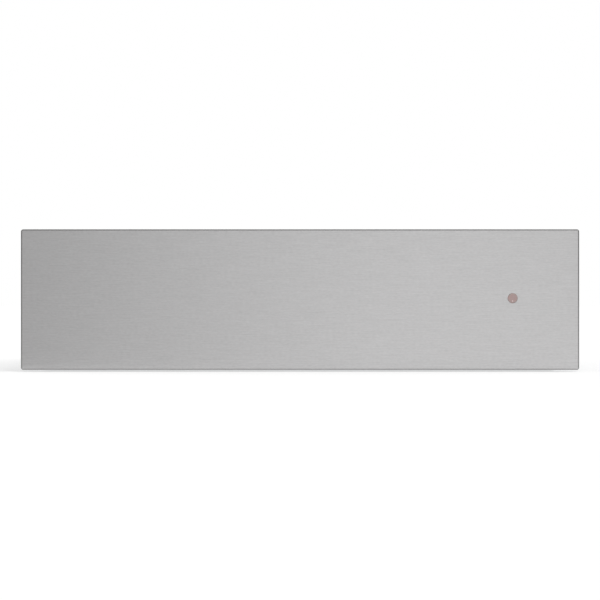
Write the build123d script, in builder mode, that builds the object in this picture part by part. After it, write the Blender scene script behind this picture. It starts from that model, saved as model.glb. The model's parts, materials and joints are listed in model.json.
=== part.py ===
from build123d import *
import os
from math import cos, pi, radians, sin, tan

# Built-in warming drawer with a plain steel front, for a 60 cm kitchen cabinet.
# Sizes are in millimetres. X runs to the right, Y from the front to the back, Z up from the shelf.
# The origin is the middle of the footprint, on the shelf that the feet stand on.

os.makedirs("parts", exist_ok=True)

# Front panel, its lining and the wool between them
front_width = 595.0
front_height = 150.0
front_depth = 20.0
front_sheet = 1.0
front_corner_radius = 2.5
front_fold_radius = 1.2
front_return = 14.0
front_lift = 2.0
liner_sheet = 1.0
liner_play = 0.3
collar_height = 4.0
collar_wall = 1.9
wool_play = 0.3
wool_window = 22.0
wool_corner_radius = 6.0

# Indicator lamp in the front panel
indicator_inset = 71.0
indicator_rise = 1.5
indicator_diameter = 10.4
indicator_play = 0.1
lens_flange_width = 2.0
lens_flange_thickness = 1.5
lens_dome_radius = 0.6
led_diameter = 5.0
led_length = 8.6
led_tip_radius = 2.0
led_rim_width = 0.5
led_rim_height = 1.0
lead_hole_diameter = 7.0

# Housing, which is narrower and lower than the front
front_overlap = 19.5
front_over_roof = 6.0
front_gap = 5.0
push_travel = 3.0
push_play = 0.3
housing_depth = 520.0
housing_sheet = 1.0
housing_fold_radius = 2.0
roof_return = 14.0
roof_lip = 12.0
roof_corner_radius = 3.0
back_flange = 14.0
base_hem = 6.0
fold_play = 0.3
foot_height = 3.0
foot_diameter = 30.0
foot_inset = 72.0
foot_chamfer = 0.6

# Pressed beads in the base and the roof
bead_height = 2.0
bead_width = 24.0
bead_taper = 45.0
base_bead_margin = 55.0
base_bead_pitch = 150.0
base_bead_count = 3
roof_bead_margin = 75.0
roof_bead_pitch = 110.0
roof_bead_start = 95.0
roof_bead_count = 4

# Air slots
slot_width = 4.0
slot_length = 36.0
slot_pitch = 12.0
side_slot_count = 9
side_slot_drop = 36.0
side_slot_margin = 130.0
roof_slot_count = 14
roof_slot_margin = 50.0
back_slot_count = 4
back_slot_drop = 20.0
back_slot_spread = 150.0
back_slot_groups = 3

# Flanges that screw to the cabinet sides, with the rubber buffers that stop the front
flange_sheet = 1.5
flange_depth = 22.0
flange_cover = 3.5
flange_margin = 4.0
flange_headroom = 3.0
cabinet_hole_diameter = 4.5
cabinet_hole_spacing = 90.0
buffer_diameter = 8.0
buffer_inset = 9.0

# Fasteners
screw_diameter = 4.0
screw_head_diameter = 7.6
screw_head_height = 2.0
screw_head_round = 1.1
screw_play = 0.1
recess_length = 4.0
recess_width = 0.9
recess_depth = 1.1
roof_screw_diameter = 3.2
roof_screw_head_diameter = 6.2
roof_screw_angle = 120.0
roof_screw_margin = 42.0
roof_recess_length = 3.2
roof_recess_width = 0.7
roof_recess_depth = 0.9
back_screw_margin = 25.0
base_screw_spacing = 222.0
screw_tail = 3.0
rivet_head_diameter = 7.6
rivet_head_height = 1.4
rivet_head_round = 1.1

# Telescopic runners with two rows of balls in each gap
runner_width = 12.7
runner_height = 45.0
runner_length = 450.0
runner_inset = 24.0
runner_rise = 50.0
member_sheet = 1.0
member_fold_radius = 1.4
outer_member_depth = 9.0
middle_member_depth = 7.5
member_lip = 1.6
ball_diameter = 3.8
ball_play = 0.2
ball_count = 8
cage_sheet = 0.5
cage_play = 0.3
cage_length = 200.0
cage_lip_play = 0.8
runner_fixing_spacing = 130.0
runner_fixing_count = 4

# Drawer sides and tray
drawer_ground_gap = 8.0
drawer_side_width = 12.0
drawer_side_sheet = 1.0
drawer_side_flange = 10.0
front_tab_width = 18.0
front_screw_spacing = 56.0
front_screw_tail = 1.0
tray_sheet = 0.8
tray_rise = 2.0
tray_rim = 6.0
tray_corner_radius = 14.0
tray_bottom_radius = 8.0
mat_thickness = 2.5
mat_margin = 2.0
mat_corner_radius = 10.0

# Control strip on top of the box behind the front
control_depth = 49.0
control_sheet = 1.0
control_flange = 8.0
control_end_play = 0.3
fascia_thickness = 3.0
fascia_edge_radius = 1.0
dish_diameter = 42.0
dish_depth = 0.6
knob_inset = 79.0
knob_diameter = 32.0
knob_height = 14.0
knob_lift = 0.6
knob_base_height = 4.5
knob_grip_width = 14.0
knob_grip_inset = 0.5
knob_grip_taper = 8.0
knob_crown = 3.0
knob_hollow_play = 1.0
knob_edge_radius = 1.0
knob_pointer_width = 1.6
knob_pointer_length = 10.6
knob_pointer_offset = 8.0
knob_pointer_depth = 0.5
lip_clearance = 4.2
thermostat_size = 30.0
thermostat_height = 26.0
thermostat_corner_radius = 2.0
thermostat_port_offset = 7.5
bushing_diameter = 10.0
bushing_sink = 8.0
bushing_overhang = 1.2
shaft_diameter = 6.0
shaft_play = 0.1
shaft_end_play = 0.5
nut_width = 14.0
nut_height = 2.5
nut_play = 0.1

# Rocker switch
switch_inset = 52.0
switch_width = 12.4
switch_depth = 20.0
switch_play = 0.2
switch_wall = 1.0
switch_frame = 2.0
switch_frame_height = 1.5
switch_corner_radius = 1.5
switch_edge_radius = 0.6
switch_contact_space = 3.0
rocker_radius = 8.6
rocker_play = 0.4
rocker_drop = 0.8
rocker_tilt = 10.0
rocker_middle_height = 2.6
rocker_end_height = 4.4
rocker_depth = 3.5
rocker_side_play = 0.3
rocker_pin_diameter = 2.4
rocker_pin_length = 0.8

# Hot-air unit behind the tray
fan_bay_depth = 63.0
casing_depth = 25.0
casing_sheet = 1.0
casing_flange = 12.0
casing_headroom = 3.2
grille_margin = 2.3
grille_overlap = 5.0
grille_edge = 18.0
grille_corner_radius = 6.0
grille_screw_margin = 15.0
grille_slot_width = 3.6
grille_slot_length = 22.0
grille_slot_pitch = 9.0
grille_slot_count = 14
grille_slot_start = 62.0
grille_row_gap = 7.7
intake_hole_diameter = 5.0
intake_ring_pitch = 7.6
intake_ring_count = 3
intake_holes_per_ring = 6
heater_diameter = 6.0
heater_play = 2.0
heater_gap_angle = 22.0
heater_leg = 6.0
heater_bend_radius = 4.5
heater_leg_length = 24.0
heater_setback = 12.0
heater_flange_thickness = 1.5
heater_flange_width = 14.0
heater_flange_height = 32.0
heater_flange_corner = 3.0
impeller_play = 4.0
impeller_sheet = 0.8
impeller_depth = 14.0
impeller_setback = 5.0
blade_count = 18
blade_height = 9.0
hub_diameter = 12.0
fan_shaft_diameter = 4.0
fan_shaft_hole = 9.0
cutout_diameter = 16.0
cutout_height = 8.0
cutout_edge_radius = 1.0
cutout_offset = 70.0
tab_length = 7.0
tab_width = 6.3
tab_thickness = 0.8
tab_pitch = 8.0
bulb_diameter = 6.0
bulb_length = 60.0
bulb_offset = 75.0
bulb_clip_width = 4.0
bulb_clip_wall = 2.5
bulb_clip_spacing = 36.0

# Shaded-pole fan motor
core_clearance = 2.5
core_thickness = 18.0
core_above = 20.0
core_below = 36.0
core_leg = 8.0
core_side_leg = 11.0
core_window = 11.0
core_corner_radius = 3.0
rotor_diameter = 26.0
rotor_gap = 0.5
motor_standoff = 9.0
bracket_sheet = 2.0
bracket_height = 14.0
bracket_clearance = 1.0
bracket_end_radius = 6.0
bracket_post_diameter = 6.0
bracket_post_inset = 5.0
bearing_play = 0.05
coil_thickness = 7.0
coil_side_play = 1.0
coil_radius = 3.0
coil_play = 0.3

# Rear cover of the drawer, with the steel plate that the latch magnet holds
cover_sheet = 1.0
cover_slot_spread = 150.0
cover_slot_count = 10
grommet_hole_diameter = 16.0
grommet_flange = 2.0
grommet_lip = 2.2
grommet_bore = 10.0
grommet_play = 0.1
grommet_inset = 26.0
grommet_rise = 23.0
striker_thickness = 2.0
striker_width = 30.0
striker_height = 26.0
striker_corner_radius = 2.0

# Push latch on the back panel
latch_depth = 22.0
latch_width = 46.0
latch_height = 30.0
latch_wall = 5.0
latch_edge_radius = 2.0
latch_face_radius = 1.0
latch_screw_spacing = 34.0
latch_play = 0.5
slider_diameter = 8.0
slider_play = 0.1
slider_head_diameter = 14.0
slider_head_thickness = 2.0
slider_length = 13.0
magnet_diameter = 10.0
magnet_thickness = 4.0
magnet_gap = 0.2
spring_diameter = 6.4
spring_wire = 0.6
spring_turns = 5
spring_end_play = 0.2

# Mains entry at the back
entry_inset = 78.0
gland_rise = 37.0
gland_flange_diameter = 24.0
gland_edge_radius = 1.5
gland_projection = 5.0
gland_neck_diameter = 15.8
gland_inside = 8.0
gland_bore = 8.0
gland_play = 0.1
gland_nut_width = 24.0
gland_nut_height = 4.0
terminal_width = 48.0
terminal_depth = 22.0
terminal_height = 18.0
terminal_step = 6.0
terminal_pitch = 14.0
terminal_count = 3
terminal_well_diameter = 7.0
terminal_wire_diameter = 4.0
terminal_clearance = 4.0
terminal_corner_radius = 1.5
terminal_gap = 2.0
terminal_margin = 3.0

# Wiring inside the drawer, and the capillary tube from the thermostat to its bulb
loom_diameter = 5.0
loom_bend_radius = 14.0
lead_diameter = 2.4
lead_bend_radius = 4.0
lead_setback = 6.0
capillary_diameter = 2.0
capillary_bend_radius = 8.0
capillary_side_gap = 4.2
clip_length = 8.0
clip_wall = 1.5
clip_play = 0.1
clip_pitch = 130.0
clip_count = 3

# Places along Z
front_mid_z = front_lift + front_height / 2
base_bottom_z = foot_height
base_top_z = base_bottom_z + housing_sheet
roof_top_z = front_lift + front_height - front_over_roof
roof_bottom_z = roof_top_z - housing_sheet
shell_height = roof_bottom_z - base_bottom_z
shell_mid_z = (roof_bottom_z + base_bottom_z) / 2
lip_bottom_z = roof_bottom_z - roof_lip
drawer_bottom_z = base_top_z + drawer_ground_gap
fascia_top_z = lip_bottom_z - lip_clearance - knob_height - knob_lift
side_top_z = fascia_top_z - fascia_thickness
side_height = side_top_z - drawer_bottom_z
side_mid_z = (side_top_z + drawer_bottom_z) / 2
rim_top_z = side_top_z + tray_sheet
tray_bottom_z = drawer_bottom_z + tray_rise
tray_floor_z = tray_bottom_z + tray_sheet
runner_z = drawer_bottom_z + runner_rise
indicator_z = front_mid_z + indicator_rise
casing_bottom_z = tray_bottom_z + tray_bottom_radius
casing_top_z = side_top_z - casing_headroom
casing_height = casing_top_z - casing_bottom_z
fan_z = (casing_top_z + casing_bottom_z) / 2

# Places along Y
overall_depth = front_depth + front_gap + housing_depth + gland_projection
front_face_y = -overall_depth / 2
front_back_y = front_face_y + front_depth
liner_front_y = front_back_y - liner_sheet
housing_front_y = front_back_y + front_gap
housing_back_y = housing_front_y + housing_depth
housing_mid_y = (housing_front_y + housing_back_y) / 2
shell_front_y = housing_front_y + flange_sheet
shell_back_y = housing_back_y - housing_sheet
latch_front_y = shell_back_y - latch_depth
slider_head_y = latch_front_y - push_travel - push_play - latch_play
magnet_back_y = slider_head_y - slider_head_thickness
striker_face_y = magnet_back_y - magnet_thickness - magnet_gap
drawer_back_y = striker_face_y - striker_thickness
drawer_length = drawer_back_y - front_back_y
control_back_y = front_back_y + control_depth
control_y = (front_back_y + control_back_y) / 2
tray_front_y = control_back_y + tray_rim
tray_back_y = drawer_back_y - fan_bay_depth
tray_length = tray_back_y - tray_front_y
tray_mid_y = (tray_front_y + tray_back_y) / 2
casing_back_y = tray_back_y + casing_depth
runner_front_y = housing_front_y + runner_inset
runner_back_y = runner_front_y + runner_length
runner_mid_y = (runner_front_y + runner_back_y) / 2

# Places along X, as distances from the middle
front_half = front_width / 2
housing_half = front_half - front_overlap
side_inner_x = housing_half - housing_sheet
drawer_half = side_inner_x - runner_width
side_web_x = drawer_half - drawer_side_sheet
tray_half = drawer_half - drawer_side_width
indicator_x = front_half - indicator_inset
entry_x = housing_half - entry_inset
knob_x = drawer_half - knob_inset
switch_x = knob_x - switch_inset
control_half = drawer_half - front_tab_width - control_end_play
cover_half = drawer_half - drawer_side_flange - control_end_play
grille_half = tray_half - tray_corner_radius - grille_margin
window_half = grille_half - grille_edge
casing_half = grille_half - casing_flange
grommet_x = cover_half - grommet_inset
flange_inner_x = side_inner_x - flange_sheet
flange_outer_x = front_half - flange_cover
cabinet_hole_x = (housing_half + flange_outer_x) / 2

sides = (("left", -1), ("right", 1))


def facing(y):
    """Plane across the drawer at depth y, seen from the front. Extrusions grow towards the viewer."""
    return Plane.XZ.offset(-y)


def spread(count, pitch):
    """Evenly spaced offsets, centred on zero."""
    return [(i - (count - 1) / 2) * pitch for i in range(count)]


def hexagon_corner(width):
    """Distance from the middle to a corner of a hexagon with the given width across its flats."""
    return width / 2 / cos(pi / 6)


def pan_screw(shank_length):
    """Pan-head screw along Z. Its head stands on Z = 0 and its shank reaches down."""
    with BuildPart() as screw:
        with BuildSketch():
            Circle(screw_head_diameter / 2)
        extrude(amount=screw_head_height)
        fillet(screw.edges().sort_by(Axis.Z)[-1], screw_head_round)
        with BuildSketch(Plane.XY.offset(screw_head_height)):
            Rectangle(recess_length, recess_width)
            Rectangle(recess_width, recess_length)
        extrude(amount=-recess_depth, mode=Mode.SUBTRACT)
        with BuildSketch():
            Circle(screw_diameter / 2)
        extrude(amount=-shank_length)
    return screw.part


def flush_screw(shank_length):
    """Countersunk sheet screw along Z, with its flat head level with Z = 0."""
    head_radius = roof_screw_head_diameter / 2
    shank_radius = roof_screw_diameter / 2
    with BuildPart() as screw:
        with BuildSketch(Plane.XZ):
            with BuildLine():
                Polyline(
                    (0, 0),
                    (head_radius, 0),
                    (shank_radius, -roof_screw_head_height),
                    (shank_radius, -shank_length),
                    (0, -shank_length),
                    close=True,
                )
            make_face()
        revolve(axis=Axis.Z)
        with BuildSketch():
            Rectangle(roof_recess_length, roof_recess_width)
            Rectangle(roof_recess_width, roof_recess_length)
        extrude(amount=-roof_recess_depth, mode=Mode.SUBTRACT)
    return screw.part


def rivet(shank_length):
    """Domed rivet along Z. Its head stands on Z = 0 and its shank reaches down."""
    with BuildPart() as made:
        with BuildSketch():
            Circle(rivet_head_diameter / 2)
        extrude(amount=rivet_head_height)
        fillet(made.edges().sort_by(Axis.Z)[-1], rivet_head_round)
        with BuildSketch():
            Circle(screw_diameter / 2)
        extrude(amount=-shank_length)
    return made.part


def places_facing(direction, points):
    """Planes at the given points whose Z looks along a direction, for fasteners."""
    return [Plane(origin=point, z_dir=direction) for point in points]


# Fastener places, shared by the fasteners and their holes
screw_hole_radius = screw_diameter / 2 + screw_play
roof_screw_head_height = (
    (roof_screw_head_diameter - roof_screw_diameter) / 2 / tan(radians(roof_screw_angle / 2))
)
roof_screw_x = housing_half - roof_return / 2
roof_screw_points = [
    (side * roof_screw_x, housing_mid_y + offset_y)
    for side in (-1, 1)
    for offset_y in spread(3, housing_depth / 2 - roof_screw_margin)
]
back_screw_x = housing_half - back_flange / 2
back_screw_points = [
    (side * back_screw_x, shell_mid_z + offset_z)
    for side in (-1, 1)
    for offset_z in spread(2, shell_height - 2 * back_screw_margin)
] + [(x, base_bottom_z + back_flange / 2) for x in spread(2, base_screw_spacing)]
latch_screw_points = [(x, runner_z) for x in spread(2, latch_screw_spacing)]
runner_fixing_ys = [runner_mid_y + y for y in spread(runner_fixing_count, runner_fixing_spacing)]
front_screw_x = drawer_half - front_tab_width / 2 - drawer_side_sheet
front_screw_points = [
    (side * front_screw_x, side_mid_z + offset_z)
    for side in (-1, 1)
    for offset_z in spread(2, front_screw_spacing)
]
grille_height = casing_height - 2 * grille_overlap
window_height = grille_height - 2 * grille_overlap
grille_screw_x = (grille_half + window_half) / 2
grille_screw_spacing = grille_height - 2 * grille_screw_margin
grille_screw_points = [
    (side * grille_screw_x, fan_z + offset_z)
    for side in (-1, 1)
    for offset_z in spread(2, grille_screw_spacing)
]
cabinet_hole_points = [
    (side * cabinet_hole_x, shell_mid_z + offset_z)
    for side in (-1, 1)
    for offset_z in spread(2, cabinet_hole_spacing)
]

# Housing shell: base and sides folded from one sheet, with air slots and pressed beads
base_bead_length = housing_depth - 2 * base_bead_margin
base_bead_points = [(x, housing_mid_y) for x in spread(base_bead_count, base_bead_pitch)]
side_slot_y = housing_back_y - side_slot_margin
with BuildPart() as housing_shell:
    with BuildSketch(facing(shell_back_y)):
        with Locations((0, shell_mid_z)):
            RectangleRounded(2 * housing_half, shell_height, housing_fold_radius)
            RectangleRounded(
                2 * side_inner_x,
                shell_height - 2 * housing_sheet,
                housing_fold_radius - housing_sheet,
                mode=Mode.SUBTRACT,
            )
        with Locations((0, roof_bottom_z)):
            Rectangle(2 * (housing_half - roof_return), 4 * housing_sheet, mode=Mode.SUBTRACT)
    extrude(amount=shell_back_y - shell_front_y)
    with BuildSketch(facing(shell_back_y)):
        with Locations((0, shell_mid_z)):
            RectangleRounded(2 * housing_half, shell_height, housing_fold_radius)
        with Locations((0, shell_mid_z + back_flange)):
            Rectangle(2 * (housing_half - back_flange), shell_height, mode=Mode.SUBTRACT)
    extrude(amount=housing_sheet)
    with BuildSketch(facing(shell_front_y + housing_sheet)):
        with Locations((0, base_top_z + base_hem / 2)):
            Rectangle(2 * (flange_inner_x - 2 * fold_play), base_hem)
    extrude(amount=housing_sheet)
    with BuildSketch(Plane.XY.offset(base_top_z)):
        with Locations(*base_bead_points):
            SlotOverall(base_bead_length, bead_width, rotation=90)
    extrude(amount=bead_height, taper=bead_taper)
    with BuildSketch(Plane.XY.offset(base_bottom_z)):
        with Locations(*base_bead_points):
            SlotOverall(base_bead_length - housing_sheet, bead_width - housing_sheet, rotation=90)
    extrude(amount=bead_height, taper=bead_taper, mode=Mode.SUBTRACT)
    with BuildSketch(Plane.YZ):
        with Locations((side_slot_y, roof_bottom_z - side_slot_drop)):
            with GridLocations(slot_pitch, slot_pitch, side_slot_count, 1):
                SlotOverall(slot_length, slot_width, rotation=90)
        with Locations(*[(y, runner_z) for y in runner_fixing_ys]):
            Circle(screw_hole_radius)
    extrude(amount=front_half, both=True, mode=Mode.SUBTRACT)
    with BuildSketch(Plane.XY.offset(roof_bottom_z)):
        with Locations(*roof_screw_points):
            Circle(roof_screw_diameter / 2 + screw_play)
    extrude(amount=-2 * housing_sheet, mode=Mode.SUBTRACT)
    with BuildSketch(facing(shell_back_y)):
        with Locations(*back_screw_points):
            Circle(screw_hole_radius)
    extrude(amount=2 * housing_sheet, mode=Mode.SUBTRACT)
housing_shell.part.label = "housing_shell"
export_step(housing_shell.part, "parts/housing_shell.step")

# Roof: flat plate that can carry an oven, with sunk beads, air slots and a lip over the drawer
roof_bead_length = 2 * housing_half - 2 * roof_bead_margin
roof_bead_points = [
    (0, housing_front_y + roof_bead_start + i * roof_bead_pitch) for i in range(roof_bead_count)
]
with BuildPart() as housing_roof:
    with BuildSketch(Plane.XY.offset(roof_bottom_z)):
        with Locations((0, housing_mid_y)):
            RectangleRounded(2 * housing_half, housing_depth, roof_corner_radius)
    extrude(amount=housing_sheet)
    with BuildSketch(facing(housing_front_y + housing_sheet)):
        with Locations((0, roof_bottom_z - roof_lip / 2)):
            Rectangle(2 * (flange_inner_x - fold_play), roof_lip)
    extrude(amount=housing_sheet)
    with BuildSketch(Plane.XY.offset(roof_bottom_z)):
        with Locations(*roof_bead_points):
            SlotOverall(roof_bead_length, bead_width)
    extrude(amount=-bead_height, taper=bead_taper)
    with BuildSketch(Plane.XY.offset(roof_top_z)):
        with Locations(*roof_bead_points):
            SlotOverall(roof_bead_length - housing_sheet, bead_width - housing_sheet)
    extrude(amount=-bead_height, taper=bead_taper, mode=Mode.SUBTRACT)
    with BuildSketch(Plane.XY.offset(roof_bottom_z)):
        with Locations((0, housing_back_y - roof_slot_margin)):
            with GridLocations(slot_pitch, slot_pitch, roof_slot_count, 1):
                SlotOverall(slot_length, slot_width, rotation=90)
    extrude(amount=housing_sheet, mode=Mode.SUBTRACT)
    with Locations(*[(x, y, roof_top_z) for x, y in roof_screw_points]):
        CounterSinkHole(
            roof_screw_diameter / 2 + screw_play,
            roof_screw_head_diameter / 2 + screw_play,
            depth=2 * housing_sheet,
            counter_sink_angle=roof_screw_angle,
        )
housing_roof.part.label = "housing_roof"
export_step(housing_roof.part, "parts/housing_roof.step")

# Back panel, with air slots, the cord entry hole and the latch screw holes
gland_z = base_bottom_z + gland_rise
back_slot_z = roof_bottom_z - back_slot_drop - slot_length / 2
with BuildPart() as back_panel:
    with BuildSketch(facing(housing_back_y)):
        with Locations((0, shell_mid_z)):
            RectangleRounded(2 * housing_half, shell_height, housing_fold_radius)
        with Locations(*back_screw_points, *latch_screw_points):
            Circle(screw_hole_radius, mode=Mode.SUBTRACT)
        with Locations((entry_x, gland_z)):
            Circle(gland_neck_diameter / 2 + gland_play, mode=Mode.SUBTRACT)
        with Locations(*[(x, back_slot_z) for x in spread(back_slot_groups, back_slot_spread)]):
            with GridLocations(slot_pitch, slot_pitch, back_slot_count, 1):
                SlotOverall(slot_length, slot_width, rotation=90, mode=Mode.SUBTRACT)
    extrude(amount=housing_sheet)
back_panel.part.label = "back_panel"
export_step(back_panel.part, "parts/back_panel.step")

# Cabinet flanges: angles inside the housing sides that reach out over the cabinet's front edges
flange_bottom_z = base_top_z + flange_margin
flange_top_z = roof_bottom_z - flange_headroom
flange_mid_z = (flange_top_z + flange_bottom_z) / 2
buffer_spacing = flange_top_z - flange_bottom_z - 2 * buffer_inset
for name, side in sides:
    with BuildPart() as cabinet_flange:
        with BuildSketch(Plane.XY.offset(flange_bottom_z)):
            with Locations((side * (side_inner_x - flange_sheet / 2), housing_front_y + flange_depth / 2)):
                Rectangle(flange_sheet, flange_depth)
            with Locations(
                (side * (flange_inner_x + flange_outer_x) / 2, housing_front_y + flange_sheet / 2)
            ):
                Rectangle(flange_outer_x - flange_inner_x, flange_sheet)
        extrude(amount=flange_top_z - flange_bottom_z)
        with BuildSketch(facing(shell_front_y)):
            with Locations(*cabinet_hole_points):
                Circle(cabinet_hole_diameter / 2)
        extrude(amount=flange_sheet, mode=Mode.SUBTRACT)
    cabinet_flange.part.label = f"cabinet_flange_{name}"
    export_step(cabinet_flange.part, f"parts/cabinet_flange_{name}.step")

# Rubber buffers on the flanges, which stop the front when it is pressed in
with BuildPart() as front_buffers:
    with BuildSketch(facing(housing_front_y)):
        with Locations((0, flange_mid_z)):
            with GridLocations(2 * cabinet_hole_x, buffer_spacing, 2, 2):
                Circle(buffer_diameter / 2)
    extrude(amount=front_gap - push_travel - push_play)
front_buffers.part.label = "front_buffers"
export_step(front_buffers.part, "parts/front_buffers.step")

# Feet under the base
with BuildPart() as feet:
    with BuildSketch():
        with Locations((0, housing_mid_y)):
            with GridLocations(2 * (housing_half - foot_inset), housing_depth - 2 * foot_inset, 2, 2):
                Circle(foot_diameter / 2)
    extrude(amount=foot_height)
    chamfer(feet.edges().group_by(Axis.Z)[0], foot_chamfer)
feet.part.label = "feet"
export_step(feet.part, "parts/feet.step")

# Screws of the housing: flush ones in the roof, pan heads in the back panel
roof_screw = flush_screw(housing_sheet + screw_tail)
back_screw = pan_screw(2 * housing_sheet + screw_tail)
latch_screw = pan_screw(housing_sheet + latch_wall)
with BuildPart() as housing_screws:
    with Locations(*[(x, y, roof_top_z) for x, y in roof_screw_points]):
        add(roof_screw)
    with Locations(*places_facing((0, 1, 0), [(x, housing_back_y, z) for x, z in back_screw_points])):
        add(back_screw)
    with Locations(*places_facing((0, 1, 0), [(x, housing_back_y, z) for x, z in latch_screw_points])):
        add(latch_screw)
housing_screws.part.label = "housing_screws"
export_step(housing_screws.part, "parts/housing_screws.step")

# Runner geometry: distances from the housing side towards the drawer, and half heights
web_gap = cage_sheet + 2 * cage_play
ball_gap = ball_diameter + 2 * ball_play
middle_web = member_sheet + web_gap
inner_edge = middle_web + member_sheet + web_gap
outer_half_height = runner_height / 2
middle_half_height = outer_half_height - member_sheet - ball_gap
inner_half_height = middle_half_height - member_sheet - ball_gap
wall_ball_offset = outer_member_depth / 2
drawer_ball_offset = middle_web + middle_member_depth / 2
wall_ball_height = middle_half_height + ball_gap / 2
drawer_ball_height = inner_half_height + ball_gap / 2
ball_hole_radius = ball_diameter / 2 + ball_play / 2
ball_ys = [runner_mid_y + y for y in spread(ball_count, cage_length / ball_count)]


def draw_member(side, near, far, half_height, mouth):
    """Rolled channel between two distances from the housing side, open at the distance called mouth."""
    with Locations((side * (side_inner_x - (near + far) / 2), runner_z)):
        RectangleRounded(far - near, 2 * half_height, member_fold_radius)
        RectangleRounded(
            far - near - 2 * member_sheet,
            2 * (half_height - member_sheet),
            member_fold_radius - member_sheet,
            mode=Mode.SUBTRACT,
        )
    with Locations((side * (side_inner_x - mouth), runner_z)):
        Rectangle(2 * member_fold_radius, 2 * (half_height - member_sheet - member_lip), mode=Mode.SUBTRACT)


def build_cage(side, web_from, ball_offset, ball_height, lip_to):
    """Thin cage with a web and two lips, and the balls that run in holes in the lips."""
    lip_height = ball_height - cage_sheet / 2
    with BuildPart() as cage:
        with BuildSketch(facing(runner_mid_y + cage_length / 2)):
            with Locations((side * (side_inner_x - web_from - cage_sheet / 2), runner_z)):
                Rectangle(cage_sheet, 2 * (ball_height + cage_sheet / 2))
            with Locations((side * (side_inner_x - (web_from + lip_to) / 2), runner_z)):
                Rectangle(lip_to - web_from, 2 * (ball_height + cage_sheet / 2))
                Rectangle(lip_to - web_from, 2 * lip_height, mode=Mode.SUBTRACT)
            with Locations((side * (side_inner_x - web_from - cage_sheet / 2), runner_z)):
                Rectangle(cage_sheet, 2 * lip_height)
        extrude(amount=cage_length)
        ball_x = side * (side_inner_x - ball_offset)
        with BuildSketch(Plane.XY.offset(runner_z)):
            with Locations(*[(ball_x, y) for y in ball_ys]):
                Circle(ball_hole_radius)
        extrude(amount=runner_height, both=True, mode=Mode.SUBTRACT)
        with Locations(*[(ball_x, y, runner_z + row * ball_height) for y in ball_ys for row in (-1, 1)]):
            Sphere(ball_diameter / 2)
    return cage.part


for name, side in sides:
    # Outer member, riveted to the housing side
    with BuildPart() as runner_outer:
        with BuildSketch(facing(runner_back_y)):
            draw_member(side, 0, outer_member_depth, outer_half_height, outer_member_depth)
        extrude(amount=runner_length)
        with BuildSketch(Plane.YZ.offset(side * (side_inner_x - member_sheet / 2))):
            with Locations(*[(y, runner_z) for y in runner_fixing_ys]):
                Circle(screw_hole_radius)
        extrude(amount=member_sheet, both=True, mode=Mode.SUBTRACT)
    runner_outer.part.label = f"runner_outer_{name}"
    export_step(runner_outer.part, f"parts/runner_outer_{name}.step")

    # Middle member, which floats between the two cages
    with BuildPart() as runner_middle:
        with BuildSketch(facing(runner_back_y)):
            far = middle_web + middle_member_depth
            draw_member(side, middle_web, far, middle_half_height, far)
        extrude(amount=runner_length)
    runner_middle.part.label = f"runner_middle_{name}"
    export_step(runner_middle.part, f"parts/runner_middle_{name}.step")

    # Inner member, screwed to the drawer side
    with BuildPart() as runner_inner:
        with BuildSketch(facing(runner_back_y)):
            draw_member(side, inner_edge, runner_width, inner_half_height, inner_edge)
        extrude(amount=runner_length)
        with BuildSketch(Plane.YZ.offset(side * (drawer_half + member_sheet / 2))):
            with Locations(*[(y, runner_z) for y in runner_fixing_ys]):
                Circle(screw_hole_radius)
        extrude(amount=member_sheet, both=True, mode=Mode.SUBTRACT)
    runner_inner.part.label = f"runner_inner_{name}"
    export_step(runner_inner.part, f"parts/runner_inner_{name}.step")

    # Ball cages in the gap at the housing wall and in the gap at the drawer
    wall_cage = build_cage(
        side,
        member_sheet + cage_play,
        wall_ball_offset,
        wall_ball_height,
        outer_member_depth - member_sheet - cage_lip_play,
    )
    wall_cage.label = f"ball_cage_wall_{name}"
    export_step(wall_cage, f"parts/ball_cage_wall_{name}.step")
    drawer_cage = build_cage(
        side,
        middle_web + member_sheet + cage_play,
        drawer_ball_offset,
        drawer_ball_height,
        middle_web + middle_member_depth - member_sheet - cage_play,
    )
    drawer_cage.label = f"ball_cage_drawer_{name}"
    export_step(drawer_cage, f"parts/ball_cage_drawer_{name}.step")

# Rivets that hold the outer members to the housing sides
side_rivet = rivet(housing_sheet + member_sheet)
with BuildPart() as runner_rivets:
    for name, side in sides:
        rivet_points = [(side * housing_half, y, runner_z) for y in runner_fixing_ys]
        with Locations(*places_facing((side, 0, 0), rivet_points)):
            add(side_rivet)
runner_rivets.part.label = "runner_rivets"
export_step(runner_rivets.part, "parts/runner_rivets.step")

# Drawer sides: channels that carry the tray's rim, with a tab for the front
for name, side in sides:
    with BuildPart() as drawer_side:
        with BuildSketch(facing(drawer_back_y)):
            with Locations((side * (drawer_half - drawer_side_flange / 2), side_mid_z)):
                Rectangle(drawer_side_flange, side_height)
            with Locations((side * (side_web_x - drawer_side_flange / 2), side_mid_z)):
                Rectangle(drawer_side_flange, side_height - 2 * drawer_side_sheet, mode=Mode.SUBTRACT)
        extrude(amount=drawer_length)
        with BuildSketch(facing(front_back_y + drawer_side_sheet)):
            with Locations((side * (drawer_half - front_tab_width / 2), side_mid_z)):
                Rectangle(front_tab_width, side_height)
        extrude(amount=drawer_side_sheet)
        with BuildSketch(facing(front_back_y + drawer_side_sheet)):
            with Locations(*front_screw_points):
                Circle(screw_hole_radius)
        extrude(amount=drawer_side_sheet, mode=Mode.SUBTRACT)
        with BuildSketch(Plane.YZ.offset(side * (side_web_x + drawer_side_sheet / 2))):
            with Locations(*[(y, runner_z) for y in runner_fixing_ys]):
                Circle(screw_hole_radius)
        extrude(amount=drawer_side_sheet, both=True, mode=Mode.SUBTRACT)
    drawer_side.part.label = f"drawer_side_{name}"
    export_step(drawer_side.part, f"parts/drawer_side_{name}.step")

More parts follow.
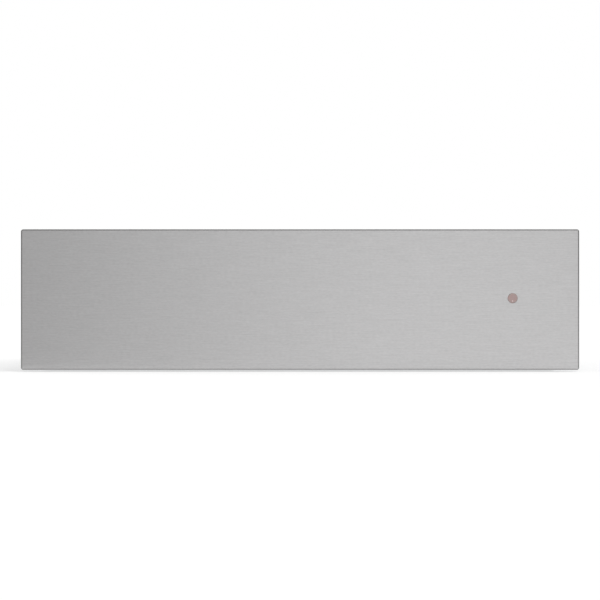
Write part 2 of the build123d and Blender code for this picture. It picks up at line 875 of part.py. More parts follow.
# Tray: deep-drawn steel pan with a flat rim and a window in its back wall
tray_depth = rim_top_z - tray_bottom_z
with BuildPart() as tray:
    with BuildSketch(Plane.XY.offset(tray_bottom_z)):
        with Locations((0, tray_mid_y)):
            RectangleRounded(2 * tray_half, tray_length, tray_corner_radius)
    extrude(amount=tray_depth)
    fillet(tray.faces().sort_by(Axis.Z)[0].edges(), tray_bottom_radius)
    offset(amount=-tray_sheet, openings=tray.faces().sort_by(Axis.Z)[-1])
    with BuildSketch(Plane.XY.offset(side_top_z)):
        with Locations((0, tray_mid_y)):
            Rectangle(2 * drawer_half, tray_length + 2 * tray_rim)
            RectangleRounded(
                2 * (tray_half - tray_sheet),
                tray_length - 2 * tray_sheet,
                tray_corner_radius - tray_sheet,
                mode=Mode.SUBTRACT,
            )
    extrude(amount=tray_sheet)
    with BuildSketch(facing(tray_back_y + tray_sheet)):
        with Locations((0, fan_z)):
            Rectangle(2 * window_half, window_height)
        with Locations(*grille_screw_points):
            Circle(screw_hole_radius)
    extrude(amount=3 * tray_sheet, mode=Mode.SUBTRACT)
tray.part.label = "tray"
export_step(tray.part, "parts/tray.step")

# Anti-slip mat on the tray floor
mat_inset = tray_sheet + tray_bottom_radius + mat_margin
with BuildPart() as anti_slip_mat:
    with BuildSketch(Plane.XY.offset(tray_floor_z)):
        with Locations((0, tray_mid_y)):
            RectangleRounded(2 * (tray_half - mat_inset), tray_length - 2 * mat_inset, mat_corner_radius)
    extrude(amount=mat_thickness)
anti_slip_mat.part.label = "anti_slip_mat"
export_step(anti_slip_mat.part, "parts/anti_slip_mat.step")

# Front panel: folded steel pan with returns all round its open back
with BuildPart() as front_panel:
    with BuildSketch(facing(front_back_y)):
        with Locations((0, front_mid_z)):
            RectangleRounded(front_width, front_height, front_corner_radius)
    extrude(amount=front_depth)
    fillet(front_panel.faces().sort_by(Axis.Y)[0].edges(), front_fold_radius)
    offset(amount=-front_sheet, openings=front_panel.faces().sort_by(Axis.Y)[-1])
    with BuildSketch(facing(liner_front_y)):
        with Locations((0, front_mid_z)):
            RectangleRounded(front_width, front_height, front_corner_radius)
            Rectangle(
                front_width - 2 * (front_sheet + front_return),
                front_height - 2 * (front_sheet + front_return),
                mode=Mode.SUBTRACT,
            )
    extrude(amount=front_sheet)
    with BuildSketch(facing(front_face_y + front_sheet)):
        with Locations((indicator_x, indicator_z)):
            Circle(indicator_diameter / 2 + indicator_play)
    extrude(amount=front_sheet, mode=Mode.SUBTRACT)
front_panel.part.label = "front_panel"
export_step(front_panel.part, "parts/front_panel.step")

# Lining that closes the front's back, with drawn collars for the front screws
liner_inset = front_sheet + liner_play
collar_radius = screw_hole_radius + collar_wall
with BuildPart() as front_liner:
    with BuildSketch(facing(front_back_y)):
        with Locations((0, front_mid_z)):
            RectangleRounded(
                front_width - 2 * liner_inset,
                front_height - 2 * liner_inset,
                front_corner_radius - front_sheet,
            )
    extrude(amount=liner_sheet)
    with BuildSketch(facing(liner_front_y)):
        with Locations(*front_screw_points):
            Circle(collar_radius)
    extrude(amount=collar_height)
    with BuildSketch(facing(front_back_y)):
        with Locations(*front_screw_points):
            Circle(screw_hole_radius)
        with Locations((indicator_x, indicator_z)):
            Circle(lead_hole_diameter / 2)
    extrude(amount=liner_sheet + collar_height, mode=Mode.SUBTRACT)
front_liner.part.label = "front_liner"
export_step(front_liner.part, "parts/front_liner.step")

# Mineral wool between the front and its lining, with a window round the lamp
wool_half = front_screw_x - collar_radius - wool_play
wool_height = front_height - 2 * (front_sheet + front_return + wool_play)
with BuildPart() as front_wool:
    with BuildSketch(facing(liner_front_y - wool_play)):
        with Locations((0, front_mid_z)):
            RectangleRounded(2 * wool_half, wool_height, wool_corner_radius)
        with Locations((indicator_x, indicator_z)):
            Circle(wool_window / 2, mode=Mode.SUBTRACT)
    extrude(amount=front_depth - front_sheet - liner_sheet - 2 * wool_play)
front_wool.part.label = "front_wool"
export_step(front_wool.part, "parts/front_wool.step")

# Indicator lens: flush disc with a flange behind the front's sheet
lens_back_y = front_face_y + front_sheet + lens_flange_thickness
lens_flange_radius = indicator_diameter / 2 + lens_flange_width
with BuildPart() as indicator_lens:
    with BuildSketch(facing(lens_back_y)):
        with Locations((indicator_x, indicator_z)):
            Circle(lens_flange_radius)
    extrude(amount=lens_flange_thickness)
    with BuildSketch(facing(front_face_y + front_sheet)):
        with Locations((indicator_x, indicator_z)):
            Circle(indicator_diameter / 2)
    extrude(amount=front_sheet)
    fillet(indicator_lens.edges().sort_by(Axis.Y)[0], lens_dome_radius)
indicator_lens.part.label = "indicator_lens"
export_step(indicator_lens.part, "parts/indicator_lens.step")

# Lamp holder from the lens to the lining, and the lamp that it grips
holder_bore_radius = led_diameter / 2 + led_rim_width + indicator_play
with BuildPart() as indicator_holder:
    with BuildSketch(facing(liner_front_y)):
        with Locations((indicator_x, indicator_z)):
            Circle(lens_flange_radius)
            Circle(holder_bore_radius, mode=Mode.SUBTRACT)
    extrude(amount=liner_front_y - lens_back_y)
indicator_holder.part.label = "indicator_holder"
export_step(indicator_holder.part, "parts/indicator_holder.step")
with BuildPart() as indicator_led:
    with BuildSketch(facing(liner_front_y)):
        with Locations((indicator_x, indicator_z)):
            Circle(led_diameter / 2 + led_rim_width)
    extrude(amount=led_rim_height)
    with BuildSketch(facing(liner_front_y)):
        with Locations((indicator_x, indicator_z)):
            Circle(led_diameter / 2)
    extrude(amount=led_length)
    fillet(indicator_led.edges().sort_by(Axis.Y)[0], led_tip_radius)
indicator_led.part.label = "indicator_led"
export_step(indicator_led.part, "parts/indicator_led.step")

# Control box: sheet channel behind the front, with flanges that carry the strip
with BuildPart() as control_box:
    with BuildSketch(Plane.YZ.offset(-control_half)):
        with Locations((control_y, side_mid_z)):
            Rectangle(control_depth, side_height)
            Rectangle(control_depth - 2 * control_sheet, side_height - 2 * control_sheet, mode=Mode.SUBTRACT)
        with Locations((control_y, side_top_z)):
            Rectangle(
                control_depth - 2 * (control_sheet + control_flange),
                4 * control_sheet,
                mode=Mode.SUBTRACT,
            )
    extrude(amount=2 * control_half)
    with BuildSketch(facing(front_back_y + control_sheet)):
        with Locations((indicator_x, indicator_z)):
            Circle(lead_hole_diameter / 2)
    extrude(amount=control_sheet, mode=Mode.SUBTRACT)
control_box.part.label = "control_box"
export_step(control_box.part, "parts/control_box.step")

# Control strip, with a shallow dish round the knob
with BuildPart() as control_fascia:
    with BuildSketch(Plane.XY.offset(side_top_z)):
        with Locations((0, control_y)):
            Rectangle(2 * drawer_half, control_depth)
        with Locations((knob_x, control_y)):
            Circle(bushing_diameter / 2 + shaft_play, mode=Mode.SUBTRACT)
        with Locations((switch_x, control_y)):
            Rectangle(switch_width + 2 * switch_play, switch_depth + 2 * switch_play, mode=Mode.SUBTRACT)
    extrude(amount=fascia_thickness)
    top_edges = control_fascia.edges().filter_by(Axis.X).group_by(Axis.Z)[-1]
    fillet(top_edges.sort_by(Axis.Y)[0], fascia_edge_radius)
    fillet(top_edges.sort_by(Axis.Y)[-1], fascia_edge_radius)
    with BuildSketch(Plane.XY.offset(fascia_top_z)):
        with Locations((knob_x, control_y)):
            Circle(dish_diameter / 2)
            Circle(hexagon_corner(nut_width + dish_depth), mode=Mode.SUBTRACT)
    extrude(amount=-dish_depth, mode=Mode.SUBTRACT)
control_fascia.part.label = "control_fascia"
export_step(control_fascia.part, "parts/control_fascia.step")

# Thermostat: body under the strip, with a threaded bushing and its nut on top
nut_top_z = fascia_top_z + nut_height
bushing_top_z = nut_top_z + bushing_overhang
with BuildPart() as thermostat_body:
    with BuildSketch(Plane.XY.offset(side_top_z)):
        with Locations((knob_x, control_y)):
            RectangleRounded(thermostat_size, thermostat_size, thermostat_corner_radius)
    extrude(amount=-thermostat_height)
    with BuildSketch(Plane.XY.offset(side_top_z)):
        with Locations((knob_x, control_y)):
            Circle(bushing_diameter / 2)
    extrude(amount=bushing_top_z - side_top_z)
    with BuildSketch(Plane.XY.offset(bushing_top_z)):
        with Locations((knob_x, control_y)):
            Circle(shaft_diameter / 2 + shaft_play)
    extrude(amount=-(bushing_top_z - side_top_z + bushing_sink), mode=Mode.SUBTRACT)
thermostat_body.part.label = "thermostat_body"
export_step(thermostat_body.part, "parts/thermostat_body.step")
with BuildPart() as thermostat_nut:
    with BuildSketch(Plane.XY.offset(fascia_top_z)):
        with Locations((knob_x, control_y)):
            RegularPolygon(nut_width / 2, 6, major_radius=False)
            Circle(bushing_diameter / 2 + nut_play, mode=Mode.SUBTRACT)
    extrude(amount=nut_height)
thermostat_nut.part.label = "thermostat_nut"
export_step(thermostat_nut.part, "parts/thermostat_nut.step")

# Thermostat shaft, which turns in the bushing and carries the knob
knob_bottom_z = fascia_top_z + knob_lift
knob_top_z = knob_bottom_z + knob_height
shaft_bottom_z = side_top_z - bushing_sink + shaft_end_play
shaft_top_z = knob_top_z - knob_crown
with BuildPart() as thermostat_shaft:
    with BuildSketch(Plane.XY.offset(shaft_bottom_z)):
        with Locations((knob_x, control_y)):
            Circle(shaft_diameter / 2)
    extrude(amount=shaft_top_z - shaft_bottom_z)
thermostat_shaft.part.label = "thermostat_shaft"
export_step(thermostat_shaft.part, "parts/thermostat_shaft.step")

# Knob: round base with a raised grip, hollow underneath for the nut
knob_hollow_radius = hexagon_corner(nut_width) + knob_hollow_play
with BuildPart() as thermostat_knob:
    with BuildSketch(Plane.XY.offset(knob_bottom_z)):
        with Locations((knob_x, control_y)):
            Circle(knob_diameter / 2)
    extrude(amount=knob_base_height)
    fillet(thermostat_knob.edges().sort_by(Axis.Z)[-1], knob_edge_radius)
    with BuildSketch(Plane.XY.offset(knob_bottom_z)):
        with Locations((knob_x, control_y)):
            SlotOverall(knob_diameter - 2 * knob_grip_inset, knob_grip_width, rotation=90)
    extrude(amount=knob_height, taper=knob_grip_taper)
    fillet(thermostat_knob.faces().sort_by(Axis.Z)[-1].edges(), knob_edge_radius)
    with BuildSketch(Plane.XY.offset(knob_top_z)):
        with Locations((knob_x, control_y + knob_pointer_offset)):
            Rectangle(knob_pointer_width, knob_pointer_length)
    extrude(amount=-knob_pointer_depth, mode=Mode.SUBTRACT)
    with BuildSketch(Plane.XY.offset(knob_bottom_z)):
        with Locations((knob_x, control_y)):
            Circle(knob_hollow_radius)
    extrude(amount=bushing_top_z - knob_bottom_z + knob_lift, mode=Mode.SUBTRACT)
    with BuildSketch(Plane.XY.offset(knob_bottom_z)):
        with Locations((knob_x, control_y)):
            Circle(shaft_diameter / 2 + bearing_play)
    extrude(amount=shaft_top_z - knob_bottom_z, mode=Mode.SUBTRACT)
thermostat_knob.part.label = "thermostat_knob"
export_step(thermostat_knob.part, "parts/thermostat_knob.step")

# Switch body: moulded frame on the strip, with a well for the rocker
pivot_z = fascia_top_z - rocker_drop
frame_top_z = fascia_top_z + switch_frame_height
switch_bottom_z = side_top_z - 2 * rocker_radius - switch_contact_space
well_width = switch_width - 2 * switch_wall
well_length = 2 * (rocker_radius + rocker_play)
with BuildPart() as switch_body:
    with BuildSketch(Plane.XY.offset(fascia_top_z)):
        with Locations((switch_x, control_y)):
            RectangleRounded(
                switch_width + 2 * switch_frame,
                switch_depth + 2 * switch_frame,
                switch_corner_radius,
            )
    extrude(amount=switch_frame_height)
    fillet(switch_body.faces().sort_by(Axis.Z)[-1].edges(), switch_edge_radius)
    with BuildSketch(Plane.XY.offset(fascia_top_z)):
        with Locations((switch_x, control_y)):
            Rectangle(switch_width, switch_depth)
    extrude(amount=switch_bottom_z - fascia_top_z)
    with BuildSketch(Plane.XY.offset(frame_top_z)):
        with Locations((switch_x, control_y)):
            Rectangle(well_width, well_length)
    extrude(amount=-(frame_top_z - pivot_z + rocker_radius + rocker_play), mode=Mode.SUBTRACT)
    with BuildSketch(Plane.YZ.offset(switch_x)):
        with Locations((control_y, pivot_z)):
            Circle(rocker_pin_diameter / 2 + shaft_play)
    extrude(amount=switch_width, both=True, mode=Mode.SUBTRACT)
switch_body.part.label = "switch_body"
export_step(switch_body.part, "parts/switch_body.step")

# Rocker in its off position, with the pins that it turns on
rocker_width = well_width - 2 * rocker_side_play
rocker_top_reach = rocker_middle_height + 2 * (rocker_end_height - rocker_middle_height)
rocker_reach = 2 * rocker_radius
with BuildPart() as switch_rocker:
    with BuildSketch(Plane.YZ.offset(switch_x - rocker_width / 2)):
        with Locations(Location((control_y, pivot_z), rocker_tilt)):
            Circle(rocker_radius)
            Polygon(
                (-rocker_reach, -rocker_depth),
                (rocker_reach, -rocker_depth),
                (rocker_reach, rocker_top_reach),
                (0, rocker_middle_height),
                (-rocker_reach, rocker_top_reach),
                align=None,
                mode=Mode.INTERSECT,
            )
    extrude(amount=rocker_width)
    with BuildSketch(Plane.YZ.offset(switch_x - well_width / 2 - rocker_pin_length)):
        with Locations((control_y, pivot_z)):
            Circle(rocker_pin_diameter / 2)
    extrude(amount=well_width + 2 * rocker_pin_length)
switch_rocker.part.label = "switch_rocker"
export_step(switch_rocker.part, "parts/switch_rocker.step")

# Fan grille: perforated plate in front of the window, intake in the middle, outlets at the sides
grille_front_y = tray_back_y - tray_sheet
slot_group_x = grille_slot_start + (grille_slot_count - 1) * grille_slot_pitch / 2
with BuildPart() as fan_grille:
    with BuildSketch(facing(grille_front_y)):
        with Locations((0, fan_z)):
            RectangleRounded(2 * grille_half, grille_height, grille_corner_radius)
        with Locations(*[(side * slot_group_x, fan_z) for side in (-1, 1)]):
            with GridLocations(grille_slot_pitch, grille_slot_length + grille_row_gap, grille_slot_count, 2):
                SlotOverall(grille_slot_length, grille_slot_width, rotation=90, mode=Mode.SUBTRACT)
        with Locations((0, fan_z)):
            Circle(intake_hole_diameter / 2, mode=Mode.SUBTRACT)
            for ring in range(1, intake_ring_count + 1):
                with PolarLocations(ring * intake_ring_pitch, ring * intake_holes_per_ring):
                    Circle(intake_hole_diameter / 2, mode=Mode.SUBTRACT)
        with Locations(*grille_screw_points):
            Circle(screw_hole_radius, mode=Mode.SUBTRACT)
    extrude(amount=tray_sheet)
fan_grille.part.label = "fan_grille"
export_step(fan_grille.part, "parts/fan_grille.step")

# Heater places, shared by the element, its flange and the holes in the casing
heater_ring_radius = casing_height / 2 - casing_sheet - heater_play - heater_diameter / 2
gap_angle = radians(heater_gap_angle)
ring_start = (heater_ring_radius * cos(gap_angle), heater_ring_radius * sin(gap_angle))
leg_x = ring_start[0] + heater_leg * sin(gap_angle)
leg_z = ring_start[1] - heater_leg * cos(gap_angle)
heater_y = casing_back_y - heater_setback
leg_points = [(leg_x, fan_z + sign * leg_z) for sign in (-1, 1)]
core_half = leg_x - heater_flange_width / 2 - core_clearance
post_points = [(sign * (core_half - bracket_post_inset), fan_z) for sign in (-1, 1)]

# Fan casing: shallow pan behind the tray's back wall
with BuildPart() as fan_casing:
    with BuildSketch(facing(casing_back_y)):
        with Locations((0, fan_z)):
            Rectangle(2 * casing_half, casing_height)
    extrude(amount=casing_depth)
    with BuildSketch(facing(casing_back_y - casing_sheet)):
        with Locations((0, fan_z)):
            Rectangle(2 * (casing_half - casing_sheet), casing_height - 2 * casing_sheet)
    extrude(amount=casing_depth, mode=Mode.SUBTRACT)
    with BuildSketch(facing(tray_back_y + casing_sheet)):
        with Locations((0, fan_z)):
            Rectangle(2 * grille_half, casing_height)
            Rectangle(2 * (casing_half - casing_sheet), casing_height, mode=Mode.SUBTRACT)
        with Locations(*grille_screw_points):
            Circle(screw_hole_radius, mode=Mode.SUBTRACT)
    extrude(amount=casing_sheet)
    with BuildSketch(facing(casing_back_y)):
        with Locations((0, fan_z)):
            Circle(fan_shaft_hole / 2)
        with Locations(*leg_points):
            Circle(heater_diameter / 2 + shaft_play)
    extrude(amount=casing_sheet, mode=Mode.SUBTRACT)
    with BuildSketch(Plane.YZ.offset(casing_half)):
        with Locations((heater_y, fan_z)):
            Circle(capillary_diameter / 2 + clip_play)
    extrude(amount=-casing_sheet, mode=Mode.SUBTRACT)
fan_casing.part.label = "fan_casing"
export_step(fan_casing.part, "parts/fan_casing.step")

# Heating element: an open ring round the impeller, whose ends turn back through the casing
# and are brazed into a flange behind it
leg_end_y = heater_y + heater_leg_length
with BuildPart() as heater_element:
    with BuildLine():
        FilletPolyline(
            (leg_x, leg_end_y, fan_z + leg_z),
            (leg_x, heater_y, fan_z + leg_z),
            (ring_start[0], heater_y, fan_z + ring_start[1]),
            radius=heater_bend_radius,
        )
        ThreePointArc(
            (ring_start[0], heater_y, fan_z + ring_start[1]),
            (-heater_ring_radius, heater_y, fan_z),
            (ring_start[0], heater_y, fan_z - ring_start[1]),
        )
        FilletPolyline(
            (ring_start[0], heater_y, fan_z - ring_start[1]),
            (leg_x, heater_y, fan_z - leg_z),
            (leg_x, leg_end_y, fan_z - leg_z),
            radius=heater_bend_radius,
        )
    with BuildSketch(Plane(origin=(leg_x, leg_end_y, fan_z + leg_z), z_dir=(0, -1, 0))):
        Circle(heater_diameter / 2)
    sweep()
    with BuildSketch(facing(casing_back_y + heater_flange_thickness)):
        with Locations((leg_x, fan_z)):
            RectangleRounded(heater_flange_width, heater_flange_height, heater_flange_corner)
    extrude(amount=heater_flange_thickness)
heater_element.part.label = "heater_element"
export_step(heater_element.part, "parts/heater_element.step")

# Impeller: disc with straight blades, on a hub
impeller_radius = heater_ring_radius - heater_diameter / 2 - impeller_play
impeller_back_y = casing_back_y - impeller_setback
hub_radius = hub_diameter / 2
with BuildPart() as fan_impeller:
    with BuildSketch(facing(impeller_back_y)):
        with Locations((0, fan_z)):
            Circle(impeller_radius)
    extrude(amount=impeller_sheet)
    with BuildSketch(facing(impeller_back_y)):
        with Locations((0, fan_z)):
            with PolarLocations(impeller_radius - blade_height / 2, blade_count):
                Rectangle(blade_height, impeller_sheet)
            Circle(hub_radius)
    extrude(amount=impeller_depth)
    with BuildSketch(facing(impeller_back_y)):
        with Locations((0, fan_z)):
            Circle(fan_shaft_diameter / 2 + bearing_play)
    extrude(amount=impeller_depth, mode=Mode.SUBTRACT)
fan_impeller.part.label = "fan_impeller"
export_step(fan_impeller.part, "parts/fan_impeller.step")

# Motor core: lamination pack with a round bore and a leg for the coil
bracket_front_y = casing_back_y + motor_standoff - bracket_clearance - bracket_sheet
core_front_y = casing_back_y + motor_standoff
core_back_y = core_front_y + core_thickness
core_height = core_above + core_below
window_z = fan_z - core_below + core_leg + core_window / 2
window_reach = core_half - core_side_leg
with BuildPart() as motor_core:
    with BuildSketch(facing(core_back_y)):
        with Locations((0, fan_z + (core_above - core_below) / 2)):
            RectangleRounded(2 * core_half, core_height, core_corner_radius)
        with Locations((0, fan_z)):
            Circle(rotor_diameter / 2 + rotor_gap, mode=Mode.SUBTRACT)
        with Locations((0, window_z)):
            Rectangle(2 * window_reach, core_window, mode=Mode.SUBTRACT)
    extrude(amount=core_thickness)
motor_core.part.label = "motor_core"
export_step(motor_core.part, "parts/motor_core.step")

# Motor coil, wound round the core's lower leg
leg_mid_z = fan_z - core_below + core_leg / 2
coil_half = window_reach - coil_side_play
with BuildPart() as motor_coil:
    with BuildSketch(Plane.YZ.offset(-coil_half)):
        with Locations(((core_front_y + core_back_y) / 2, leg_mid_z)):
            RectangleRounded(
                core_thickness + 2 * (coil_play + coil_thickness),
                core_leg + 2 * (coil_play + coil_thickness),
                coil_radius,
            )
            Rectangle(core_thickness + 2 * coil_play, core_leg + 2 * coil_play, mode=Mode.SUBTRACT)
    extrude(amount=2 * coil_half)
motor_coil.part.label = "motor_coil"
export_step(motor_coil.part, "parts/motor_coil.step")

# Motor brackets: two straps with the shaft bearings, and the posts down to the casing
bracket_back_y = core_back_y + bracket_clearance
with BuildPart() as motor_brackets:
    for strap_back_y in (bracket_front_y + bracket_sheet, bracket_back_y + bracket_sheet):
        with BuildSketch(facing(strap_back_y)):
            with Locations((0, fan_z)):
                RectangleRounded(2 * core_half, bracket_height, bracket_end_radius)
                Circle(fan_shaft_diameter / 2 + bearing_play, mode=Mode.SUBTRACT)
        extrude(amount=bracket_sheet)
    with BuildSketch(facing(bracket_front_y)):
        with Locations(*post_points):
            Circle(bracket_post_diameter / 2)
    extrude(amount=bracket_front_y - casing_back_y)
    for pad_back_y in (core_front_y, bracket_back_y):
        with BuildSketch(facing(pad_back_y)):
            with Locations(*post_points):
                Circle(bracket_post_diameter / 2)
        extrude(amount=bracket_clearance)
motor_brackets.part.label = "motor_brackets"
export_step(motor_brackets.part, "parts/motor_brackets.step")

# Rotor and shaft of the motor, which carry the impeller
shaft_front_y = impeller_back_y - impeller_depth
with BuildPart() as fan_rotor:
    with BuildSketch(facing(core_back_y)):
        with Locations((0, fan_z)):
            Circle(rotor_diameter / 2)
    extrude(amount=core_thickness)
    with BuildSketch(facing(bracket_back_y + bracket_sheet + bracket_clearance)):
        with Locations((0, fan_z)):
            Circle(fan_shaft_diameter / 2)
    extrude(amount=bracket_back_y + bracket_sheet + bracket_clearance - shaft_front_y)
fan_rotor.part.label = "fan_rotor"
export_step(fan_rotor.part, "parts/fan_rotor.step")

# Thermal cut-out: round switch on the back of the casing, with two tabs for its leads
tab_end_y = casing_back_y + cutout_height + tab_length
tab_points = [(cutout_offset + offset_x, fan_z) for offset_x in spread(2, tab_pitch)]
with BuildPart() as thermal_cutout:
    with BuildSketch(facing(casing_back_y + cutout_height)):
        with Locations((cutout_offset, fan_z)):
            Circle(cutout_diameter / 2)
    extrude(amount=cutout_height)
    fillet(thermal_cutout.edges().sort_by(Axis.Y)[-1], cutout_edge_radius)
    with BuildSketch(facing(tab_end_y)):
        with Locations(*tab_points):
            Rectangle(tab_thickness, tab_width)
    extrude(amount=tab_length)
thermal_cutout.part.label = "thermal_cutout"
export_step(thermal_cutout.part, "parts/thermal_cutout.step")

# Temperature bulb of the thermostat, in two clips inside the casing
bulb_mid_x = bulb_offset + bulb_length / 2
bulb_plane = Plane.YZ.offset(bulb_offset)
casing_inner_y = casing_back_y - casing_sheet
with BuildPart() as temperature_bulb:
    with BuildSketch(bulb_plane):
        with Locations((heater_y, fan_z)):
            Circle(bulb_diameter / 2)
    extrude(amount=bulb_length)
    for clip_offset in spread(2, bulb_clip_spacing):
        with BuildSketch(Plane.YZ.offset(bulb_mid_x + clip_offset - bulb_clip_width / 2)):
            clip_front_y = heater_y - bulb_diameter / 2 - bulb_clip_wall
            with Locations(((clip_front_y + casing_inner_y) / 2, fan_z)):
                Rectangle(casing_inner_y - clip_front_y, bulb_diameter + 2 * bulb_clip_wall)
        extrude(amount=bulb_clip_width)
temperature_bulb.part.label = "temperature_bulb"
export_step(temperature_bulb.part, "parts/temperature_bulb.step")


def run_tube(points, bend_radii, diameter):
    """Round tube along straight runs, joined by arcs of the given radii."""
    with BuildPart() as tube:
        with BuildLine() as path:
            FilletPolyline(*points, radius=bend_radii)
        with BuildSketch(Plane(origin=path.line @ 0, z_dir=path.line % 0)):
            Circle(diameter / 2)
        sweep(path=path.line)
    return tube.part


def build_clips(tube_x, tube_z, diameter):
    """Clips that hold a tube against the inside of the right drawer side."""
    clip_inner_x = tube_x - diameter / 2 - clip_wall
    with BuildPart() as clips:
        for clip_y in [tray_mid_y + y for y in spread(clip_count, clip_pitch)]:
            with BuildSketch(facing(clip_y + clip_length / 2)):
                with Locations(((clip_inner_x + side_web_x) / 2, tube_z)):
                    Rectangle(side_web_x - clip_inner_x, diameter + 2 * clip_wall)
                with Locations((tube_x, tube_z)):
                    Circle(diameter / 2 + clip_play, mode=Mode.SUBTRACT)
            extrude(amount=clip_length)
    return clips.part


# Capillary tube: from the thermostat along the right drawer side to the bulb
thermostat_bottom_z = side_top_z - thermostat_height
capillary_x = side_web_x - capillary_side_gap - capillary_diameter / 2
capillary_y = control_y + thermostat_port_offset
capillary_points = [
    (knob_x, capillary_y, thermostat_bottom_z),
    (knob_x, capillary_y, fan_z),
    (capillary_x, capillary_y, fan_z),
    (capillary_x, heater_y, fan_z),
    (bulb_offset + bulb_length, heater_y, fan_z),
]
with BuildPart() as capillary_tube:
    add(run_tube(capillary_points, capillary_bend_radius, capillary_diameter))
    add(build_clips(capillary_x, fan_z, capillary_diameter))
capillary_tube.part.label = "capillary_tube"
export_step(capillary_tube.part, "parts/capillary_tube.step")

# Wiring loom: from the switch along the right drawer side to the motor, with leads that branch off
loom_x = (side_web_x + tray_half) / 2
loom_y = max(tab_end_y, leg_end_y) + lead_setback
loom_z = leg_mid_z - (core_leg + coil_thickness) / 2 - coil_play
loom_points = [
    (switch_x, control_y, switch_bottom_z),
    (switch_x, control_y, loom_z),
    (loom_x, control_y, loom_z),
    (loom_x, loom_y, loom_z),
    (coil_half, loom_y, loom_z),
]
thermostat_lead_y = control_y - thermostat_port_offset
lead_points = [
    [
        (knob_x, thermostat_lead_y, thermostat_bottom_z),
        (knob_x, thermostat_lead_y, loom_z),
        (knob_x, control_y, loom_z),
    ],
    [
        (indicator_x, liner_front_y, indicator_z),
        (indicator_x, control_y, indicator_z),
        (indicator_x, control_y, loom_z),
    ],
]
for x, z in leg_points:
    lead_points.append([(x, leg_end_y, z), (x, loom_y, z), (x, loom_y, loom_z)])
for x, z in tab_points:
    lead_points.append([(x, tab_end_y, z), (x, loom_y, z), (x, loom_y, loom_z)])
with BuildPart() as drawer_wiring:
    add(run_tube(loom_points, loom_bend_radius, loom_diameter))
    for points in lead_points:
        add(run_tube(points, lead_bend_radius, lead_diameter))
    add(build_clips(loom_x, loom_z, loom_diameter))
drawer_wiring.part.label = "drawer_wiring"
export_step(drawer_wiring.part, "parts/drawer_wiring.step")

# Rear cover: folded sheet round the motor bay, with air slots and the loom grommet's hole
cover_mid_y = (tray_back_y + drawer_back_y) / 2
grommet_z = drawer_bottom_z + grommet_rise
with BuildPart() as rear_cover:
    with BuildSketch(Plane.YZ.offset(-cover_half)):
        with Locations((cover_mid_y, side_mid_z)):
            Rectangle(fan_bay_depth, side_height)
        with Locations((cover_mid_y - cover_sheet, side_mid_z)):
            Rectangle(fan_bay_depth, side_height - 2 * cover_sheet, mode=Mode.SUBTRACT)
    extrude(amount=2 * cover_half)
    with BuildSketch(facing(drawer_back_y)):
        with Locations(*[(x, side_mid_z) for x in spread(2, 2 * cover_slot_spread)]):
            with GridLocations(slot_pitch, slot_pitch, cover_slot_count, 1):
                SlotOverall(slot_length, slot_width, rotation=90)
        with Locations((grommet_x, grommet_z)):
            Circle(grommet_hole_diameter / 2)
    extrude(amount=cover_sheet, mode=Mode.SUBTRACT)
rear_cover.part.label = "rear_cover"
export_step(rear_cover.part, "parts/rear_cover.step")

# Grommet in the rear cover, for the wiring loom
with BuildPart() as loom_grommet:
    with BuildSketch(facing(drawer_back_y + grommet_lip)):
        with Locations((grommet_x, grommet_z)):
            Circle(grommet_hole_diameter / 2 + grommet_flange)
    extrude(amount=2 * grommet_lip + cover_sheet)
    with BuildSketch(facing(drawer_back_y)):
        with Locations((grommet_x, grommet_z)):
            Circle(grommet_hole_diameter / 2 + 2 * grommet_flange)
            Circle(grommet_hole_diameter / 2 - grommet_play, mode=Mode.SUBTRACT)
    extrude(amount=cover_sheet, mode=Mode.SUBTRACT)
    with BuildSketch(facing(drawer_back_y + grommet_lip)):
        with Locations((grommet_x, grommet_z)):
            Circle(grommet_bore / 2)
    extrude(amount=2 * grommet_lip + cover_sheet, mode=Mode.SUBTRACT)
loom_grommet.part.label = "loom_grommet"
export_step(loom_grommet.part, "parts/loom_grommet.step")

# Striker plate on the rear cover
with BuildPart() as striker_plate:
    with BuildSketch(facing(striker_face_y)):
        with Locations((0, runner_z)):
            RectangleRounded(striker_width, striker_height, striker_corner_radius)
    extrude(amount=striker_thickness)
striker_plate.part.label = "striker_plate"
export_step(striker_plate.part, "parts/striker_plate.step")

# Screws of the drawer: inner runner members, front tabs and grille
runner_screw = pan_screw(member_sheet + drawer_side_sheet + screw_tail)
front_screw = pan_screw(drawer_side_sheet + liner_sheet + collar_height + front_screw_tail)
grille_screw = pan_screw(2 * tray_sheet + casing_sheet + screw_tail)
with BuildPart() as drawer_screws:
    for name, side in sides:
        runner_screw_points = [(side * (drawer_half + member_sheet), y, runner_z) for y in runner_fixing_ys]
        with Locations(*places_facing((side, 0, 0), runner_screw_points)):
            add(runner_screw)
    tab_back_y = front_back_y + drawer_side_sheet
    with Locations(*places_facing((0, 1, 0), [(x, tab_back_y, z) for x, z in front_screw_points])):
        add(front_screw)
    grille_face_y = grille_front_y - tray_sheet
    with Locations(*places_facing((0, -1, 0), [(x, grille_face_y, z) for x, z in grille_screw_points])):
        add(grille_screw)
drawer_screws.part.label = "drawer_screws"
export_step(drawer_screws.part, "parts/drawer_screws.step")

